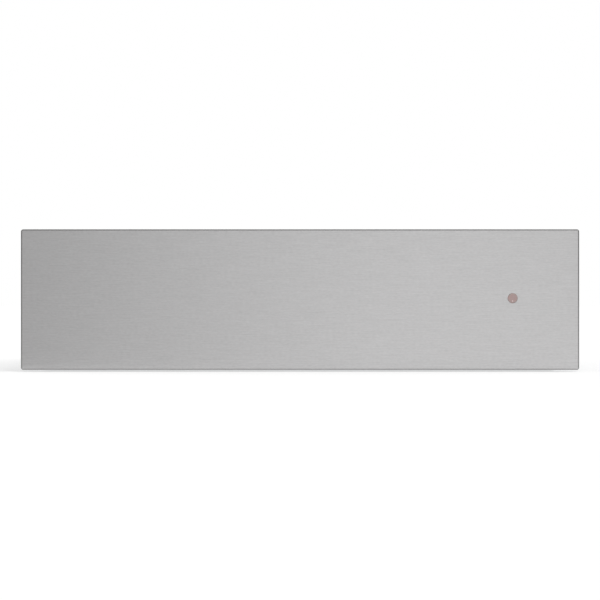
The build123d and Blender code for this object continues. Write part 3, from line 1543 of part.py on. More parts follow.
# Latch body on the back panel, with a bore for the slider
bore_depth = latch_depth - latch_wall
with BuildPart() as latch_body:
    with BuildSketch(facing(shell_back_y)):
        with Locations((0, runner_z)):
            RectangleRounded(latch_width, latch_height, latch_edge_radius)
    extrude(amount=latch_depth)
    fillet(latch_body.faces().sort_by(Axis.Y)[0].edges(), latch_face_radius)
    with BuildSketch(facing(latch_front_y + bore_depth)):
        with Locations((0, runner_z)):
            Circle(slider_diameter / 2 + slider_play)
    extrude(amount=bore_depth, mode=Mode.SUBTRACT)
    with BuildSketch(facing(shell_back_y)):
        with Locations(*latch_screw_points):
            Circle(screw_hole_radius)
    extrude(amount=latch_wall + screw_tail, mode=Mode.SUBTRACT)
latch_body.part.label = "latch_body"
export_step(latch_body.part, "parts/latch_body.step")

# Latch slider and the magnet on its tip
slider_end_y = slider_head_y + slider_length
with BuildPart() as latch_slider:
    with BuildSketch(facing(slider_head_y)):
        with Locations((0, runner_z)):
            Circle(slider_head_diameter / 2)
    extrude(amount=slider_head_thickness)
    with BuildSketch(facing(slider_end_y)):
        with Locations((0, runner_z)):
            Circle(slider_diameter / 2)
    extrude(amount=slider_length)
latch_slider.part.label = "latch_slider"
export_step(latch_slider.part, "parts/latch_slider.step")
with BuildPart() as latch_magnet:
    with BuildSketch(facing(magnet_back_y)):
        with Locations((0, runner_z)):
            Circle(magnet_diameter / 2)
    extrude(amount=magnet_thickness)
latch_magnet.part.label = "latch_magnet"
export_step(latch_magnet.part, "parts/latch_magnet.step")

# Latch spring between the slider and the bottom of the bore
spring_space = latch_front_y + bore_depth - slider_end_y - 2 * spring_end_play - spring_wire
spring_radius = (spring_diameter - spring_wire) / 2
spring_start = (0, slider_end_y + spring_end_play + spring_wire / 2, runner_z)
with BuildPart() as latch_spring:
    with BuildLine() as coil_line:
        Helix(
            spring_space / spring_turns,
            spring_space,
            spring_radius,
            center=spring_start,
            direction=(0, 1, 0),
        )
    with BuildSketch(Plane(origin=coil_line.line @ 0, z_dir=coil_line.line % 0)):
        Circle(spring_wire / 2)
    sweep(path=coil_line.line)
latch_spring.part.label = "latch_spring"
export_step(latch_spring.part, "parts/latch_spring.step")

# Cord gland through the back panel, with its nut inside
gland_mouth_y = housing_back_y + gland_projection
with BuildPart() as cord_gland:
    with BuildSketch(facing(gland_mouth_y)):
        with Locations((entry_x, gland_z)):
            Circle(gland_flange_diameter / 2)
    extrude(amount=gland_projection)
    fillet(cord_gland.edges().sort_by(Axis.Y)[-1], gland_edge_radius)
    with BuildSketch(facing(housing_back_y)):
        with Locations((entry_x, gland_z)):
            Circle(gland_neck_diameter / 2)
    extrude(amount=gland_inside)
    with BuildSketch(facing(gland_mouth_y)):
        with Locations((entry_x, gland_z)):
            Circle(gland_bore / 2)
    extrude(amount=gland_projection + gland_inside, mode=Mode.SUBTRACT)
cord_gland.part.label = "cord_gland"
export_step(cord_gland.part, "parts/cord_gland.step")
with BuildPart() as gland_nut:
    with BuildSketch(facing(shell_back_y)):
        with Locations((entry_x, gland_z)):
            RegularPolygon(gland_nut_width / 2, 6, major_radius=False)
            Circle(gland_neck_diameter / 2 + gland_play, mode=Mode.SUBTRACT)
    extrude(amount=gland_nut_height)
gland_nut.part.label = "gland_nut"
export_step(gland_nut.part, "parts/gland_nut.step")

# Terminal block on the base, in front of the gland
terminal_back_y = shell_back_y - terminal_clearance
terminal_mid_y = terminal_back_y - terminal_depth / 2
with BuildPart() as terminal_block:
    with BuildSketch(Plane.XY.offset(base_top_z)):
        with Locations((entry_x, terminal_mid_y)):
            RectangleRounded(terminal_width, terminal_depth, terminal_corner_radius)
    extrude(amount=terminal_height - terminal_step)
    with BuildSketch(Plane.XY.offset(base_top_z)):
        with Locations((entry_x, terminal_mid_y)):
            with GridLocations(terminal_pitch, terminal_pitch, terminal_count, 1):
                Rectangle(terminal_pitch - terminal_gap, terminal_depth - 2 * terminal_margin)
    extrude(amount=terminal_height)
    with BuildSketch(Plane.XY.offset(base_top_z + terminal_height)):
        with Locations((entry_x, terminal_mid_y)):
            with GridLocations(terminal_pitch, terminal_pitch, terminal_count, 1):
                Circle(terminal_well_diameter / 2)
    extrude(amount=-terminal_step, mode=Mode.SUBTRACT)
    with BuildSketch(facing(terminal_back_y)):
        with Locations((entry_x, base_top_z + (terminal_height - terminal_step) / 2)):
            with GridLocations(terminal_pitch, terminal_pitch, terminal_count, 1):
                Circle(terminal_wire_diameter / 2)
    extrude(amount=terminal_depth, mode=Mode.SUBTRACT)
terminal_block.part.label = "terminal_block"
export_step(terminal_block.part, "parts/terminal_block.step")
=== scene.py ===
import json
from math import cos, pi, radians, sin

import bpy
import numpy as np
from mathutils import Matrix, Vector


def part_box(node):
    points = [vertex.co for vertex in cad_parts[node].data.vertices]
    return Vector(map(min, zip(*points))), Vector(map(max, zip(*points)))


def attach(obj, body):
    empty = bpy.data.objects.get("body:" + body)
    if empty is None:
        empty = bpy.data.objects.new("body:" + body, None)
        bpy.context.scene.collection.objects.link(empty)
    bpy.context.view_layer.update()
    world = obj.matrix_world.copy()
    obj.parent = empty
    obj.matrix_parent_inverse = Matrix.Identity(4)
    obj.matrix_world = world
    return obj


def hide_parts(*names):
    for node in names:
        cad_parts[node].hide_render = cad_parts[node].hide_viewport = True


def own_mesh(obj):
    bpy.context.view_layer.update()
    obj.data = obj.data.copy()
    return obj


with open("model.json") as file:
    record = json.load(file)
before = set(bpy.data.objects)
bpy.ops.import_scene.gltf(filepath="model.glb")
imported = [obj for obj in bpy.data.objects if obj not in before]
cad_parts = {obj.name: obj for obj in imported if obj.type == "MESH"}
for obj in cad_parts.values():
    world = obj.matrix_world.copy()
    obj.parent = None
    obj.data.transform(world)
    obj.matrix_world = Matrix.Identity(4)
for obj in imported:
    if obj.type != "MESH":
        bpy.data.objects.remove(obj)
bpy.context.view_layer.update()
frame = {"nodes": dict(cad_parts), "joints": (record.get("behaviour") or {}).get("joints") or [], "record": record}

mm = 0.001
print("frame loaded with", len(frame["nodes"]), "nodes")


# parts of shaders, all on Object coordinates in metres

def newFinish(name, look):
    # a shader with the look's plain values on its own sockets
    material = bpy.data.materials.new(name)
    material.use_nodes = True
    tree = material.node_tree
    shader = tree.nodes["Principled BSDF"]
    shader.inputs["Base Color"].default_value = (*look["colour"], 1)
    shader.inputs["Metallic"].default_value = look.get("metal", 0)
    shader.inputs["Roughness"].default_value = look["roughness"]
    shader.inputs["Coat Weight"].default_value = look.get("coat", 0)
    shader.inputs["Coat Roughness"].default_value = look.get("coatRoughness", 0.1)
    shader.inputs["Subsurface Weight"].default_value = look.get("glow", 0)
    shader.inputs["Subsurface Scale"].default_value = look.get("glowDepth", 1 * mm)
    return material, tree, shader


def surfacePoint(tree, stretch, turn=(0, 0, 0)):
    # the point on the piece, turned and then scaled by stretch, in waves or cells per metre
    coordinates = tree.nodes.new("ShaderNodeTexCoord")
    mapping = tree.nodes.new("ShaderNodeMapping")
    mapping.inputs["Scale"].default_value = stretch
    mapping.inputs["Rotation"].default_value = turn
    tree.links.new(coordinates.outputs["Object"], mapping.inputs["Vector"])
    return mapping.outputs["Vector"]


def noise(tree, stretch, detail=2):
    node = tree.nodes.new("ShaderNodeTexNoise")
    node.inputs["Scale"].default_value = 1
    node.inputs["Detail"].default_value = detail
    tree.links.new(surfacePoint(tree, stretch), node.inputs["Vector"])
    return node.outputs["Fac"]


def crystalCells(tree, look, cells):
    # the stretched point, and a colour for each cell of a pattern whose edges a noise makes ragged
    point = surfacePoint(tree, (cells,) * 3)
    ragged = tree.nodes.new("ShaderNodeTexNoise")
    ragged.inputs["Scale"].default_value = look["raggedScale"]
    ragged.inputs["Detail"].default_value = look["raggedDetail"]
    push = tree.nodes.new("ShaderNodeVectorMath")
    push.operation = "MULTIPLY_ADD"
    push.inputs[1].default_value = (look["ragged"],) * 3
    pattern = tree.nodes.new("ShaderNodeTexVoronoi")
    pattern.inputs["Scale"].default_value = 1
    tree.links.new(point, ragged.inputs["Vector"])
    tree.links.new(ragged.outputs["Color"], push.inputs[0])
    tree.links.new(point, push.inputs[2])
    tree.links.new(push.outputs["Vector"], pattern.inputs["Vector"])
    return point, pattern.outputs["Color"]


def cellTone(tree, cell):
    # one number out of a cell's colour
    parts = tree.nodes.new("ShaderNodeSeparateColor")
    tree.links.new(cell, parts.inputs["Color"])
    return parts.outputs["Red"]


def feathering(tree, look, point, cell):
    # streaks that the cell's colour turns another way in each cell
    turn = tree.nodes.new("ShaderNodeVectorMath")
    turn.operation = "SCALE"
    turn.inputs["Scale"].default_value = 2 * pi
    rotate = tree.nodes.new("ShaderNodeVectorRotate")
    rotate.rotation_type = "EULER_XYZ"
    narrow = tree.nodes.new("ShaderNodeVectorMath")
    narrow.operation = "MULTIPLY"
    narrow.inputs[1].default_value = look["feather"]
    streaks = tree.nodes.new("ShaderNodeTexNoise")
    streaks.inputs["Scale"].default_value = 1
    streaks.inputs["Detail"].default_value = look["featherDetail"]
    tree.links.new(cell, turn.inputs[0])
    tree.links.new(turn.outputs["Vector"], rotate.inputs["Rotation"])
    tree.links.new(point, rotate.inputs["Vector"])
    tree.links.new(rotate.outputs["Vector"], narrow.inputs[0])
    tree.links.new(narrow.outputs["Vector"], streaks.inputs["Vector"])
    return streaks.outputs["Fac"]


def stripes(tree, stretch, turn):
    # bands along the turned X axis, one for each unit of the stretched point
    node = tree.nodes.new("ShaderNodeTexWave")
    node.inputs["Scale"].default_value = pi / 10
    tree.links.new(surfacePoint(tree, stretch, turn), node.inputs["Vector"])
    return node.outputs["Fac"]


def reckon(tree, operation, first, second):
    node = tree.nodes.new("ShaderNodeMath")
    node.operation = operation
    for socket, value in zip(node.inputs, (first, second)):
        if isinstance(value, (int, float)):
            socket.default_value = value
        else:
            tree.links.new(value, socket)
    return node.outputs["Value"]


def mixed(tree, *shares):
    # the sum of the values, each times its share
    tone = 0
    for value, share in shares:
        tone = reckon(tree, "ADD", tone, reckon(tree, "MULTIPLY", value, share))
    return tone


def distance(tree, first, second):
    # the length of a flat vector from its two parts
    squares = (reckon(tree, "POWER", reckon(tree, "ABSOLUTE", part, 0), 2) for part in (first, second))
    return reckon(tree, "SQRT", reckon(tree, "ADD", *squares), 0)


def axesOf(tree):
    # the point's own X, Y and Z, in metres
    parts = tree.nodes.new("ShaderNodeSeparateXYZ")
    tree.links.new(surfacePoint(tree, (1, 1, 1)), parts.inputs["Vector"])
    return parts.outputs


def spread(tree, value, low, high, newLow, newHigh):
    node = tree.nodes.new("ShaderNodeMapRange")
    tree.links.new(value, node.inputs["Value"])
    for socket, number in zip(("From Min", "From Max", "To Min", "To Max"), (low, high, newLow, newHigh)):
        node.inputs[socket].default_value = number
    return node.outputs["Result"]


def shades(tree, value, *stops):
    # a colour for each value, from stops of (place, colour)
    node = tree.nodes.new("ShaderNodeValToRGB")
    ramp = node.color_ramp
    while len(ramp.elements) < len(stops):
        ramp.elements.new(1)
    for element, (place, colour) in zip(ramp.elements, stops):
        element.position = place
        element.color = (*colour, 1)
    tree.links.new(value, node.inputs["Fac"])
    return node.outputs["Color"]


def scaled(values, factor):
    return tuple(value * factor for value in values)


def relief(tree, shader, height, depth):
    # depth is how far, in metres, a height of 1 stands above a height of 0
    node = tree.nodes.new("ShaderNodeBump")
    node.inputs["Distance"].default_value = depth
    tree.links.new(height, node.inputs["Height"])
    tree.links.new(node.outputs["Normal"], shader.inputs["Normal"])


def paint(tree, shader, look, tone, gloss=None):
    # colour and roughness swing round the look's own as the tone goes from the look's lower to its higher
    dark, light = (scaled(look["colour"], 1 + sign * look["contrast"]) for sign in (-1, 1))
    low, high = look["tones"]
    tree.links.new(shades(tree, tone, (low, dark), (high, light)), shader.inputs["Base Color"])
    rough, smooth = (look["roughness"] + sign * look["roughnessSpread"] for sign in (1, -1))
    tree.links.new(spread(tree, gloss or tone, low, high, rough, smooth), shader.inputs["Roughness"])


rolledLook = {"lineDetail": 3, "hairScale": 0.31, "hairDetail": 2, "cloudDetail": 2,
              "hairShare": 0.4, "cloudShare": 0.2, "tones": (0.3, 0.7)}


def rolledSteel(name, look):
    # fine lines along one axis, wider hairs among them and a faint cloud, as ground or rolled sheet has
    look = {**rolledLook, **look}
    material, tree, shader = newFinish(name, look)
    lines = noise(tree, look["lines"], look["lineDetail"])
    hairs = noise(tree, scaled(look["lines"], look["hairScale"]), look["hairDetail"])
    cloud = noise(tree, look["cloud"], look["cloudDetail"])
    hairShare = look["hairShare"] * (1 - look["cloudShare"])
    lineShare = 1 - look["cloudShare"] - hairShare
    tone = mixed(tree, (lines, lineShare), (hairs, hairShare), (cloud, look["cloudShare"]))
    paint(tree, shader, look, tone)
    relief(tree, shader, tone, look["relief"])
    return material


def brushedFront(name, look):
    # rolled steel with painted shade: a darker line painted along the folded rim, standing in for the dark
    # surroundings that the fold mirrors
    material = rolledSteel(name, look)
    tree = material.node_tree
    shader = tree.nodes["Principled BSDF"]
    low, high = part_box("front_panel")
    middle, half = (low + high) / 2, (high - low) / 2
    place = axesOf(tree)

    def insetFrom(axis, centre, reach):
        away = reckon(tree, "ABSOLUTE", reckon(tree, "SUBTRACT", place[axis], centre), 0)
        return reckon(tree, "SUBTRACT", reach, away)

    # painted shade: the colour is scaled down to the rim's shade within a band along the outline, near the front
    # face
    rim = reckon(tree, "MINIMUM", insetFrom("X", middle.x, half.x), insetFrom("Z", middle.z, half.z))
    depth = reckon(tree, "SUBTRACT", place["Y"], low.y)
    shade = reckon(tree, "MAXIMUM", spread(tree, rim, *look["paintedShadeBand"], look["paintedRimShade"], 1),
                   spread(tree, depth, *look["paintedShadeBand"], look["paintedRimShade"], 1))
    darken = tree.nodes.new("ShaderNodeVectorMath")
    darken.operation = "SCALE"
    tree.links.new(shader.inputs["Base Color"].links[0].from_socket, darken.inputs[0])
    tree.links.new(shade, darken.inputs["Scale"])
    tree.links.new(darken.outputs["Vector"], shader.inputs["Base Color"])
    return material


zincLook = {"raggedScale": 3, "raggedDetail": 3, "featherDetail": 2, "smallCells": 2.7,
            "grainDetail": 4, "cloudCells": 18, "cloudDetail": 3, "tones": (0.25, 0.75)}


def galvanisedSheet(name, look):
    # zinc crystals: each cell has its own tone, gloss and direction of feathering, under a fine grain
    look = {**zincLook, **look}
    material, tree, shader = newFinish(name, look)
    point, cell = crystalCells(tree, look, look["crystals"])
    _, smallCell = crystalCells(tree, look, look["crystals"] * look["smallCells"])
    crystal, small = cellTone(tree, cell), cellTone(tree, smallCell)
    feather = feathering(tree, look, point, cell)
    grain = noise(tree, (look["grain"],) * 3, look["grainDetail"])
    cloud = noise(tree, (look["crystals"] / look["cloudCells"],) * 3, look["cloudDetail"])
    tone = mixed(tree, *zip((crystal, feather, small, grain, cloud), look["shares"]))
    paint(tree, shader, look, tone, gloss=crystal)
    relief(tree, shader, tone, look["relief"])
    return material


mouldLook = {"grainDetail": 3, "grainShare": 0.5, "cloudGrains": 40, "cloudDetail": 2,
             "tones": (0.3, 0.7)}


def mouldedPiece(name, look):
    # a fine eroded mould texture with faint mottling
    look = {**mouldLook, **look}
    material, tree, shader = newFinish(name, look)
    grain = noise(tree, (look["grain"],) * 3, look["grainDetail"])
    cloud = noise(tree, (look["grain"] / look["cloudGrains"],) * 3, look["cloudDetail"])
    paint(tree, shader, look, mixed(tree, (grain, look["grainShare"]), (cloud, 1 - look["grainShare"])))
    relief(tree, shader, grain, look["relief"])
    return material


braidLook = {"lean": radians(50), "weaveShare": 0.7, "fuzzDetail": 3, "tones": (0.3, 0.9)}


def braidedSleeve(name, look):
    # two crossing sets of bands, of which the higher is the thread on top
    look = {**braidLook, **look}
    material, tree, shader = newFinish(name, look)
    pitch = (1 / look["thread"],) * 3
    over, under = (stripes(tree, pitch, (0, lean, lean)) for lean in (look["lean"], -look["lean"]))
    fuzz = noise(tree, (look["grain"],) * 3, look["fuzzDetail"])
    weave = reckon(tree, "MAXIMUM", over, under)
    tone = mixed(tree, (weave, look["weaveShare"]), (fuzz, 1 - look["weaveShare"]))
    paint(tree, shader, look, tone)
    relief(tree, shader, tone, look["relief"])
    return material


def lampLens(name, look):
    # rings round the lamp's axis: a paler rim, and a painted highlight, a pale spot below the middle
    material, tree, shader = newFinish(name, look)
    low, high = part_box("indicator_lens")
    middle = (low + high) / 2
    place = axesOf(tree)

    def distanceFrom(x, z):
        aside, up = (reckon(tree, "SUBTRACT", place[axis], spot) for axis, spot in (("X", x), ("Z", z)))
        return distance(tree, aside, up)

    mottle = noise(tree, (look["grain"],) * 3)
    unevenness = reckon(tree, "MULTIPLY", mottle, look["mottle"])
    radius = reckon(tree, "ADD", distanceFrom(middle.x, middle.z), unevenness)
    ring = spread(tree, radius, look["core"], look["rim"], 0, 1)
    # painted highlight: a near-white spot blended over the lens colour below its middle
    paintedHighlightDistance = distanceFrom(middle.x, middle.z - look["highlightDrop"])
    blend = tree.nodes.new("ShaderNodeMix")
    blend.data_type = "RGBA"
    tree.links.new(spread(tree, paintedHighlightDistance, look["highlightCore"], look["highlightRadius"], 1, 0), blend.inputs["Factor"])
    tree.links.new(shades(tree, ring, (0, look["colour"]), (1, look["rimColour"])), blend.inputs["A"])
    blend.inputs["B"].default_value = (*look["highlightColour"], 1)
    tree.links.new(blend.outputs["Result"], shader.inputs["Base Color"])
    relief(tree, shader, mottle, look["relief"])
    return material


finishes = {
    # the front's rim values set a line of painted shade along the folded rim
    "brushed_front": brushedFront("brushedFront", {
        "colour": (0.567, 0.562, 0.564), "metal": 1, "roughness": 0.34, "roughnessSpread": 0.04,
        "lines": (70, 1100, 2400), "hairShare": 0.12, "cloud": (260, 480, 640), "cloudShare": 0.42,
        "contrast": 0.088, "relief": 0.005 * mm, "paintedShadeBand": (1.2 * mm, 1.7 * mm), "paintedRimShade": 0.62}),
    "stainless": rolledSteel("satinStainless", {
        "colour": (0.58, 0.58, 0.57), "metal": 1, "roughness": 0.34, "roughnessSpread": 0.05,
        "lines": (12, 1500, 1500), "cloud": (30, 30, 30), "contrast": 0.06, "relief": 0.004 * mm}),
    "galvanised": galvanisedSheet("galvanisedSheet", {
        "colour": (0.55, 0.57, 0.58), "metal": 1, "roughness": 0.42, "roughnessSpread": 0.05,
        "crystals": 165, "ragged": 0.4, "feather": (1.2, 11, 11), "grain": 1100,
        "shares": (0.22, 0.5, 0.12, 0.06, 0.1), "contrast": 0.115, "relief": 0.004 * mm}),
    "zinc_plated": rolledSteel("zincPlate", {
        "colour": (0.62, 0.64, 0.66), "metal": 1, "roughness": 0.28, "roughnessSpread": 0.06,
        "lines": (1400, 20, 1400), "cloud": (60, 60, 60), "contrast": 0.06, "relief": 0.004 * mm}),
    "ball_steel": rolledSteel("polishedBalls", {
        "colour": (0.70, 0.70, 0.70), "metal": 1, "roughness": 0.16, "roughnessSpread": 0.03,
        "lines": (900, 60, 900), "cloud": (80, 80, 80), "contrast": 0.04, "relief": 0.002 * mm}),
    "aluminium": rolledSteel("pressedAluminium", {
        "colour": (0.70, 0.70, 0.71), "metal": 1, "roughness": 0.36, "roughnessSpread": 0.06,
        "lines": (60, 900, 60), "cloud": (50, 50, 50), "contrast": 0.05, "relief": 0.006 * mm}),
    "heater_sheath": galvanisedSheet("oxidisedSheath", {
        "colour": (0.12, 0.12, 0.11), "metal": 0.8, "roughness": 0.5, "roughnessSpread": 0.1,
        "crystals": 260, "ragged": 1.0, "feather": (1, 4, 4), "grain": 1500,
        "shares": (0.24, 0, 0.2, 0.24, 0.32), "contrast": 0.3, "relief": 0.02 * mm}),
    "laminations": rolledSteel("stackedLaminations", {
        "colour": (0.10, 0.11, 0.13), "metal": 0.6, "roughness": 0.45, "roughnessSpread": 0.1,
        "lines": (10, 2000, 10), "cloud": (90, 90, 90), "contrast": 0.3, "relief": 0.06 * mm}),
    "copper": rolledSteel("drawnCopper", {
        "colour": (0.66, 0.33, 0.18), "metal": 1, "roughness": 0.32, "roughnessSpread": 0.08,
        "lines": (300, 300, 300), "cloud": (60, 60, 60), "contrast": 0.16, "relief": 0.004 * mm}),
    "magnet": mouldedPiece("sinteredFerrite", {
        "colour": (0.10, 0.10, 0.10), "metal": 0.3, "roughness": 0.6, "roughnessSpread": 0.1,
        "grain": 1800, "contrast": 0.25, "relief": 0.03 * mm}),
    "black_plastic": mouldedPiece("blackMoulding", {
        "colour": (0.032, 0.032, 0.033), "roughness": 0.5, "roughnessSpread": 0.06,
        "grain": 2600, "contrast": 0.12, "relief": 0.02 * mm}),
    "black_glossy": mouldedPiece("blackPolished", {
        "colour": (0.02, 0.02, 0.021), "roughness": 0.2, "roughnessSpread": 0.04, "coat": 0.3,
        "grain": 1500, "contrast": 0.08, "relief": 0.001 * mm}),
    "natural_plastic": mouldedPiece("naturalNylon", {
        "colour": (0.74, 0.72, 0.65), "roughness": 0.42, "roughnessSpread": 0.05, "glow": 0.2,
        "grain": 1400, "contrast": 0.04, "relief": 0.006 * mm}),
    "brown_phenolic": mouldedPiece("brownPhenolic", {
        "colour": (0.10, 0.05, 0.03), "roughness": 0.34, "roughnessSpread": 0.06,
        "grain": 1500, "contrast": 0.28, "relief": 0.006 * mm}),
    # the lamp lens's spot values set a painted highlight below its middle
    "lamp_lens": lampLens("lampLens", {
        "colour": (0.47, 0.335, 0.32), "roughness": 0.3, "coat": 0.3, "glow": 0.1,
        "grain": 900, "mottle": 0.4 * mm, "relief": 0.002 * mm,
        "core": 3.4 * mm, "rim": 4.6 * mm, "rimColour": (0.50, 0.365, 0.345),
        "highlightDrop": 2.9 * mm, "highlightCore": 0.39 * mm, "highlightRadius": 0.65 * mm,
        "highlightColour": (0.88, 0.87, 0.86)}),
    "mat_rubber": mouldedPiece("siliconeMat", {
        "colour": (0.05, 0.05, 0.055), "roughness": 0.62, "roughnessSpread": 0.08,
        "grain": 2200, "contrast": 0.14, "relief": 0.02 * mm}),
    "rubber": mouldedPiece("blackRubber", {
        "colour": (0.03, 0.03, 0.03), "roughness": 0.72, "roughnessSpread": 0.08,
        "grain": 1800, "contrast": 0.2, "relief": 0.03 * mm}),
    "mineral_wool": mouldedPiece("mineralWool", {
        "colour": (0.62, 0.58, 0.44), "roughness": 0.95, "roughnessSpread": 0.04,
        "grain": 1200, "contrast": 0.25, "relief": 0.4 * mm}),
    "print": mouldedPiece("whitePrint", {
        "colour": (0.72, 0.72, 0.71), "roughness": 0.55, "roughnessSpread": 0.04,
        "grain": 2000, "contrast": 0.04, "relief": 0.002 * mm}),
    "enamelled_wire": rolledSteel("enamelledWire", {
        "colour": (0.55, 0.20, 0.08), "metal": 0.8, "roughness": 0.3, "roughnessSpread": 0.06,
        "lines": (2200, 60, 60), "cloud": (90, 90, 90), "contrast": 0.25, "relief": 0.01 * mm}),
    "coil_tape": mouldedPiece("yellowTape", {
        "colour": (0.62, 0.42, 0.05), "roughness": 0.35, "roughnessSpread": 0.08, "coat": 0.2,
        "grain": 700, "contrast": 0.12, "relief": 0.02 * mm}),
    "wire_sleeve": braidedSleeve("braidedSleeve", {
        "colour": (0.10, 0.10, 0.10), "roughness": 0.8, "roughnessSpread": 0.08,
        "thread": 0.9 * mm, "grain": 2500, "contrast": 0.5, "relief": 0.15 * mm}),
}
for part in frame["record"]["subparts"]:
    frame["nodes"][part["node"]].material_slots[0].material = finishes[part["material_slot"]]


def addPiece(name, mesh, slot, body, *replaced):
    # a finished mesh becomes a piece that rides on a body
    piece = bpy.data.objects.new(name, mesh)
    bpy.context.scene.collection.objects.link(piece)
    mesh.materials.clear()
    mesh.materials.append(finishes[slot])
    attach(piece, body)
    if replaced:
        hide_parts(*replaced)
    return piece


def jointPlace(name):
    # a point on the joint's axis
    return Vector(next(joint for joint in frame["joints"] if joint["name"] == name)["pos_m"])


def shellMesh(name, points, loop=False):
    # points has the axes shell, ring, column and coordinate: quads join neighbouring rings, and either
    # the last ring joins the first one or a cap closes each end
    index = np.arange(points[..., 0].size).reshape(points.shape[:3])
    beside = np.roll(index, -1, axis=2)
    quads = np.stack([index, beside, np.roll(beside, -1, axis=1), np.roll(index, -1, axis=1)], axis=-1)
    faces = (quads if loop else quads[:, :-1]).reshape(-1, 4).tolist()
    if not loop:
        faces += np.concatenate([index[:, 0, ::-1], index[:, -1]]).tolist()
    mesh = bpy.data.meshes.new(name)
    mesh.from_pydata(points.reshape(-1, 3).tolist(), [], faces)
    return mesh


def roundedRings(halfWidth, halfLength, radius, inset, cornerSteps=9, tightest=0.1 * mm):
    # each ring is a rounded rectangle drawn in by its inset: corner centre plus bend times (cos a, sin a),
    # with a over a quarter turn at each corner, and bend the radius less the inset
    inset = np.asarray(inset)[:, None]
    turn = np.linspace(0, pi / 2, cornerSteps)
    angle = (turn[None] + np.arange(4)[:, None] * pi / 2).ravel()
    signX, signY = np.repeat(np.array([(1, 1), (-1, 1), (-1, -1), (1, -1)]), cornerSteps, axis=0).T
    bend = np.maximum(radius - inset, tightest)
    first = signX * (halfWidth - inset - bend) + bend * np.cos(angle)
    second = signY * (halfLength - inset - bend) + bend * np.sin(angle)
    return first, second


matLook = {"studPitch": 9 * mm, "studRadius": 2.7 * mm, "studHeight": 0.6 * mm, "studFoot": 0.2 * mm,
           "studSides": 8, "studAngles": (0, 30, 60), "margin": 7 * mm, "cornerRadius": 10 * mm,
           "edgeRound": 0.5 * mm, "edgeSteps": 5}


def antiSlipMat():
    # sheet: its upper edge is a quarter round e, drawn in by e (1 - cos b) at e (1 - sin b) below its top
    look = matLook
    low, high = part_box("anti_slip_mat")
    middle, half = (low + high) / 2, (high - low) / 2
    top = high.z - look["studHeight"]
    edge = look["edgeRound"]
    bend = np.linspace(0, pi / 2, look["edgeSteps"])
    inset = np.concatenate([[edge, 0], edge * (1 - np.cos(bend))])
    height = np.concatenate([[low.z, low.z + edge], top - edge * (1 - np.sin(bend))])
    x, y = roundedRings(half.x, half.y, look["cornerRadius"], inset)
    sheet = np.stack([x + middle.x, y + middle.y, np.broadcast_to(height[:, None], x.shape)], axis=-1)
    mesh = shellMesh("antiSlipSheet", sheet[None])
    addPiece("anti_slip_sheet", mesh, "mat_rubber", "drawer", "anti_slip_mat")

    # dome: radius r cos b at height h sin b over the sheet, with a foot sunk a little into it, in rows
    # that are set off by half a pitch
    pitch, row = look["studPitch"], look["studPitch"] * sin(pi / 3)
    rows = int((half.y - look["margin"]) / row)
    columns = int((half.x - look["margin"]) / pitch)
    i, j = np.meshgrid(np.arange(-columns, columns + 1), np.arange(-rows, rows + 1))
    x, y = (i + 0.5 * (j % 2)) * pitch, j * row
    keep = np.abs(x) < half.x - look["margin"]
    x, y = x[keep] + middle.x, y[keep] + middle.y
    rise = np.radians(look["studAngles"])
    radius = np.concatenate([[1.0], np.cos(rise)]) * look["studRadius"]
    level = np.concatenate([[top - look["studFoot"]], top + np.sin(rise) * look["studHeight"]])
    turn = np.arange(look["studSides"]) * 2 * pi / look["studSides"]
    points = np.empty((len(x), len(radius), look["studSides"], 3))
    points[..., 0] = x[:, None, None] + radius[None, :, None] * np.cos(turn)
    points[..., 1] = y[:, None, None] + radius[None, :, None] * np.sin(turn)
    points[..., 2] = level[None, :, None]
    mesh = shellMesh("antiSlipStuds", points)
    mesh.shade_smooth()
    addPiece("anti_slip_studs", mesh, "mat_rubber", "drawer")
    print("anti-slip mat with", len(x), "studs")


antiSlipMat()


woolLook = {"voxel": 2.5 * mm, "weld": 0.01 * mm, "lump": 0.9 * mm, "waves": 24, "waveNumbers": (60, 900),
            "seed": 7, "fill": 0.7}


def woolBatt():
    # the batt's own space, remeshed, and pressed in along its normals by a mean of sines, with seeded
    # directions and phases
    source = frame["nodes"]["front_wool"]
    mesh = source.data.copy()
    scratch = bpy.data.objects.new("woolScratch", mesh)
    bpy.context.scene.collection.objects.link(scratch)
    weld = scratch.modifiers.new("weld", "WELD")
    weld.merge_threshold = woolLook["weld"]
    remesh = scratch.modifiers.new("remesh", "REMESH")
    remesh.mode = "VOXEL"
    remesh.voxel_size = woolLook["voxel"]
    remeshed = scratch.evaluated_get(bpy.context.evaluated_depsgraph_get())
    finished = bpy.data.meshes.new_from_object(remeshed)
    bpy.data.objects.remove(scratch)
    count = len(finished.vertices)
    points = np.empty(count * 3)
    finished.vertices.foreach_get("co", points)
    points = points.reshape(-1, 3)
    normals = np.empty(count * 3, np.float32)
    finished.vertex_normals.foreach_get("vector", normals)
    normals = normals.reshape(-1, 3)
    draw = np.random.default_rng(woolLook["seed"])
    numbers = np.geomspace(*woolLook["waveNumbers"], woolLook["waves"])
    waves = draw.normal(0, 1, (len(numbers), 3)) * numbers[:, None]
    phase = draw.uniform(0, 2 * pi, len(numbers))
    lumps = np.sin(points @ waves.T + phase).mean(axis=1)
    inward = woolLook["lump"] * (0.5 + 0.5 * lumps / np.abs(lumps).max())
    points -= normals * inward[:, None]
    finished.vertices.foreach_set("co", points.ravel())
    finished.shade_smooth()
    batt = addPiece("front_wool_batt", finished, "mineral_wool", "drawer", "front_wool")
    print("wool batt with", count, "points")


woolBatt()


def printedMesh(text, height, thickness):
    # a flat sign of that thickness, centred on its own origin
    curve = bpy.data.curves.new("printed" + text, "FONT")
    curve.body = text
    curve.size = height
    curve.extrude = thickness / 2
    curve.align_x = "CENTER"
    curve.align_y = "CENTER"
    scratch = bpy.data.objects.new("printedScratch", curve)
    bpy.context.scene.collection.objects.link(scratch)
    bpy.context.view_layer.update()
    mesh = bpy.data.meshes.new_from_object(scratch)
    bpy.data.objects.remove(scratch)
    return mesh


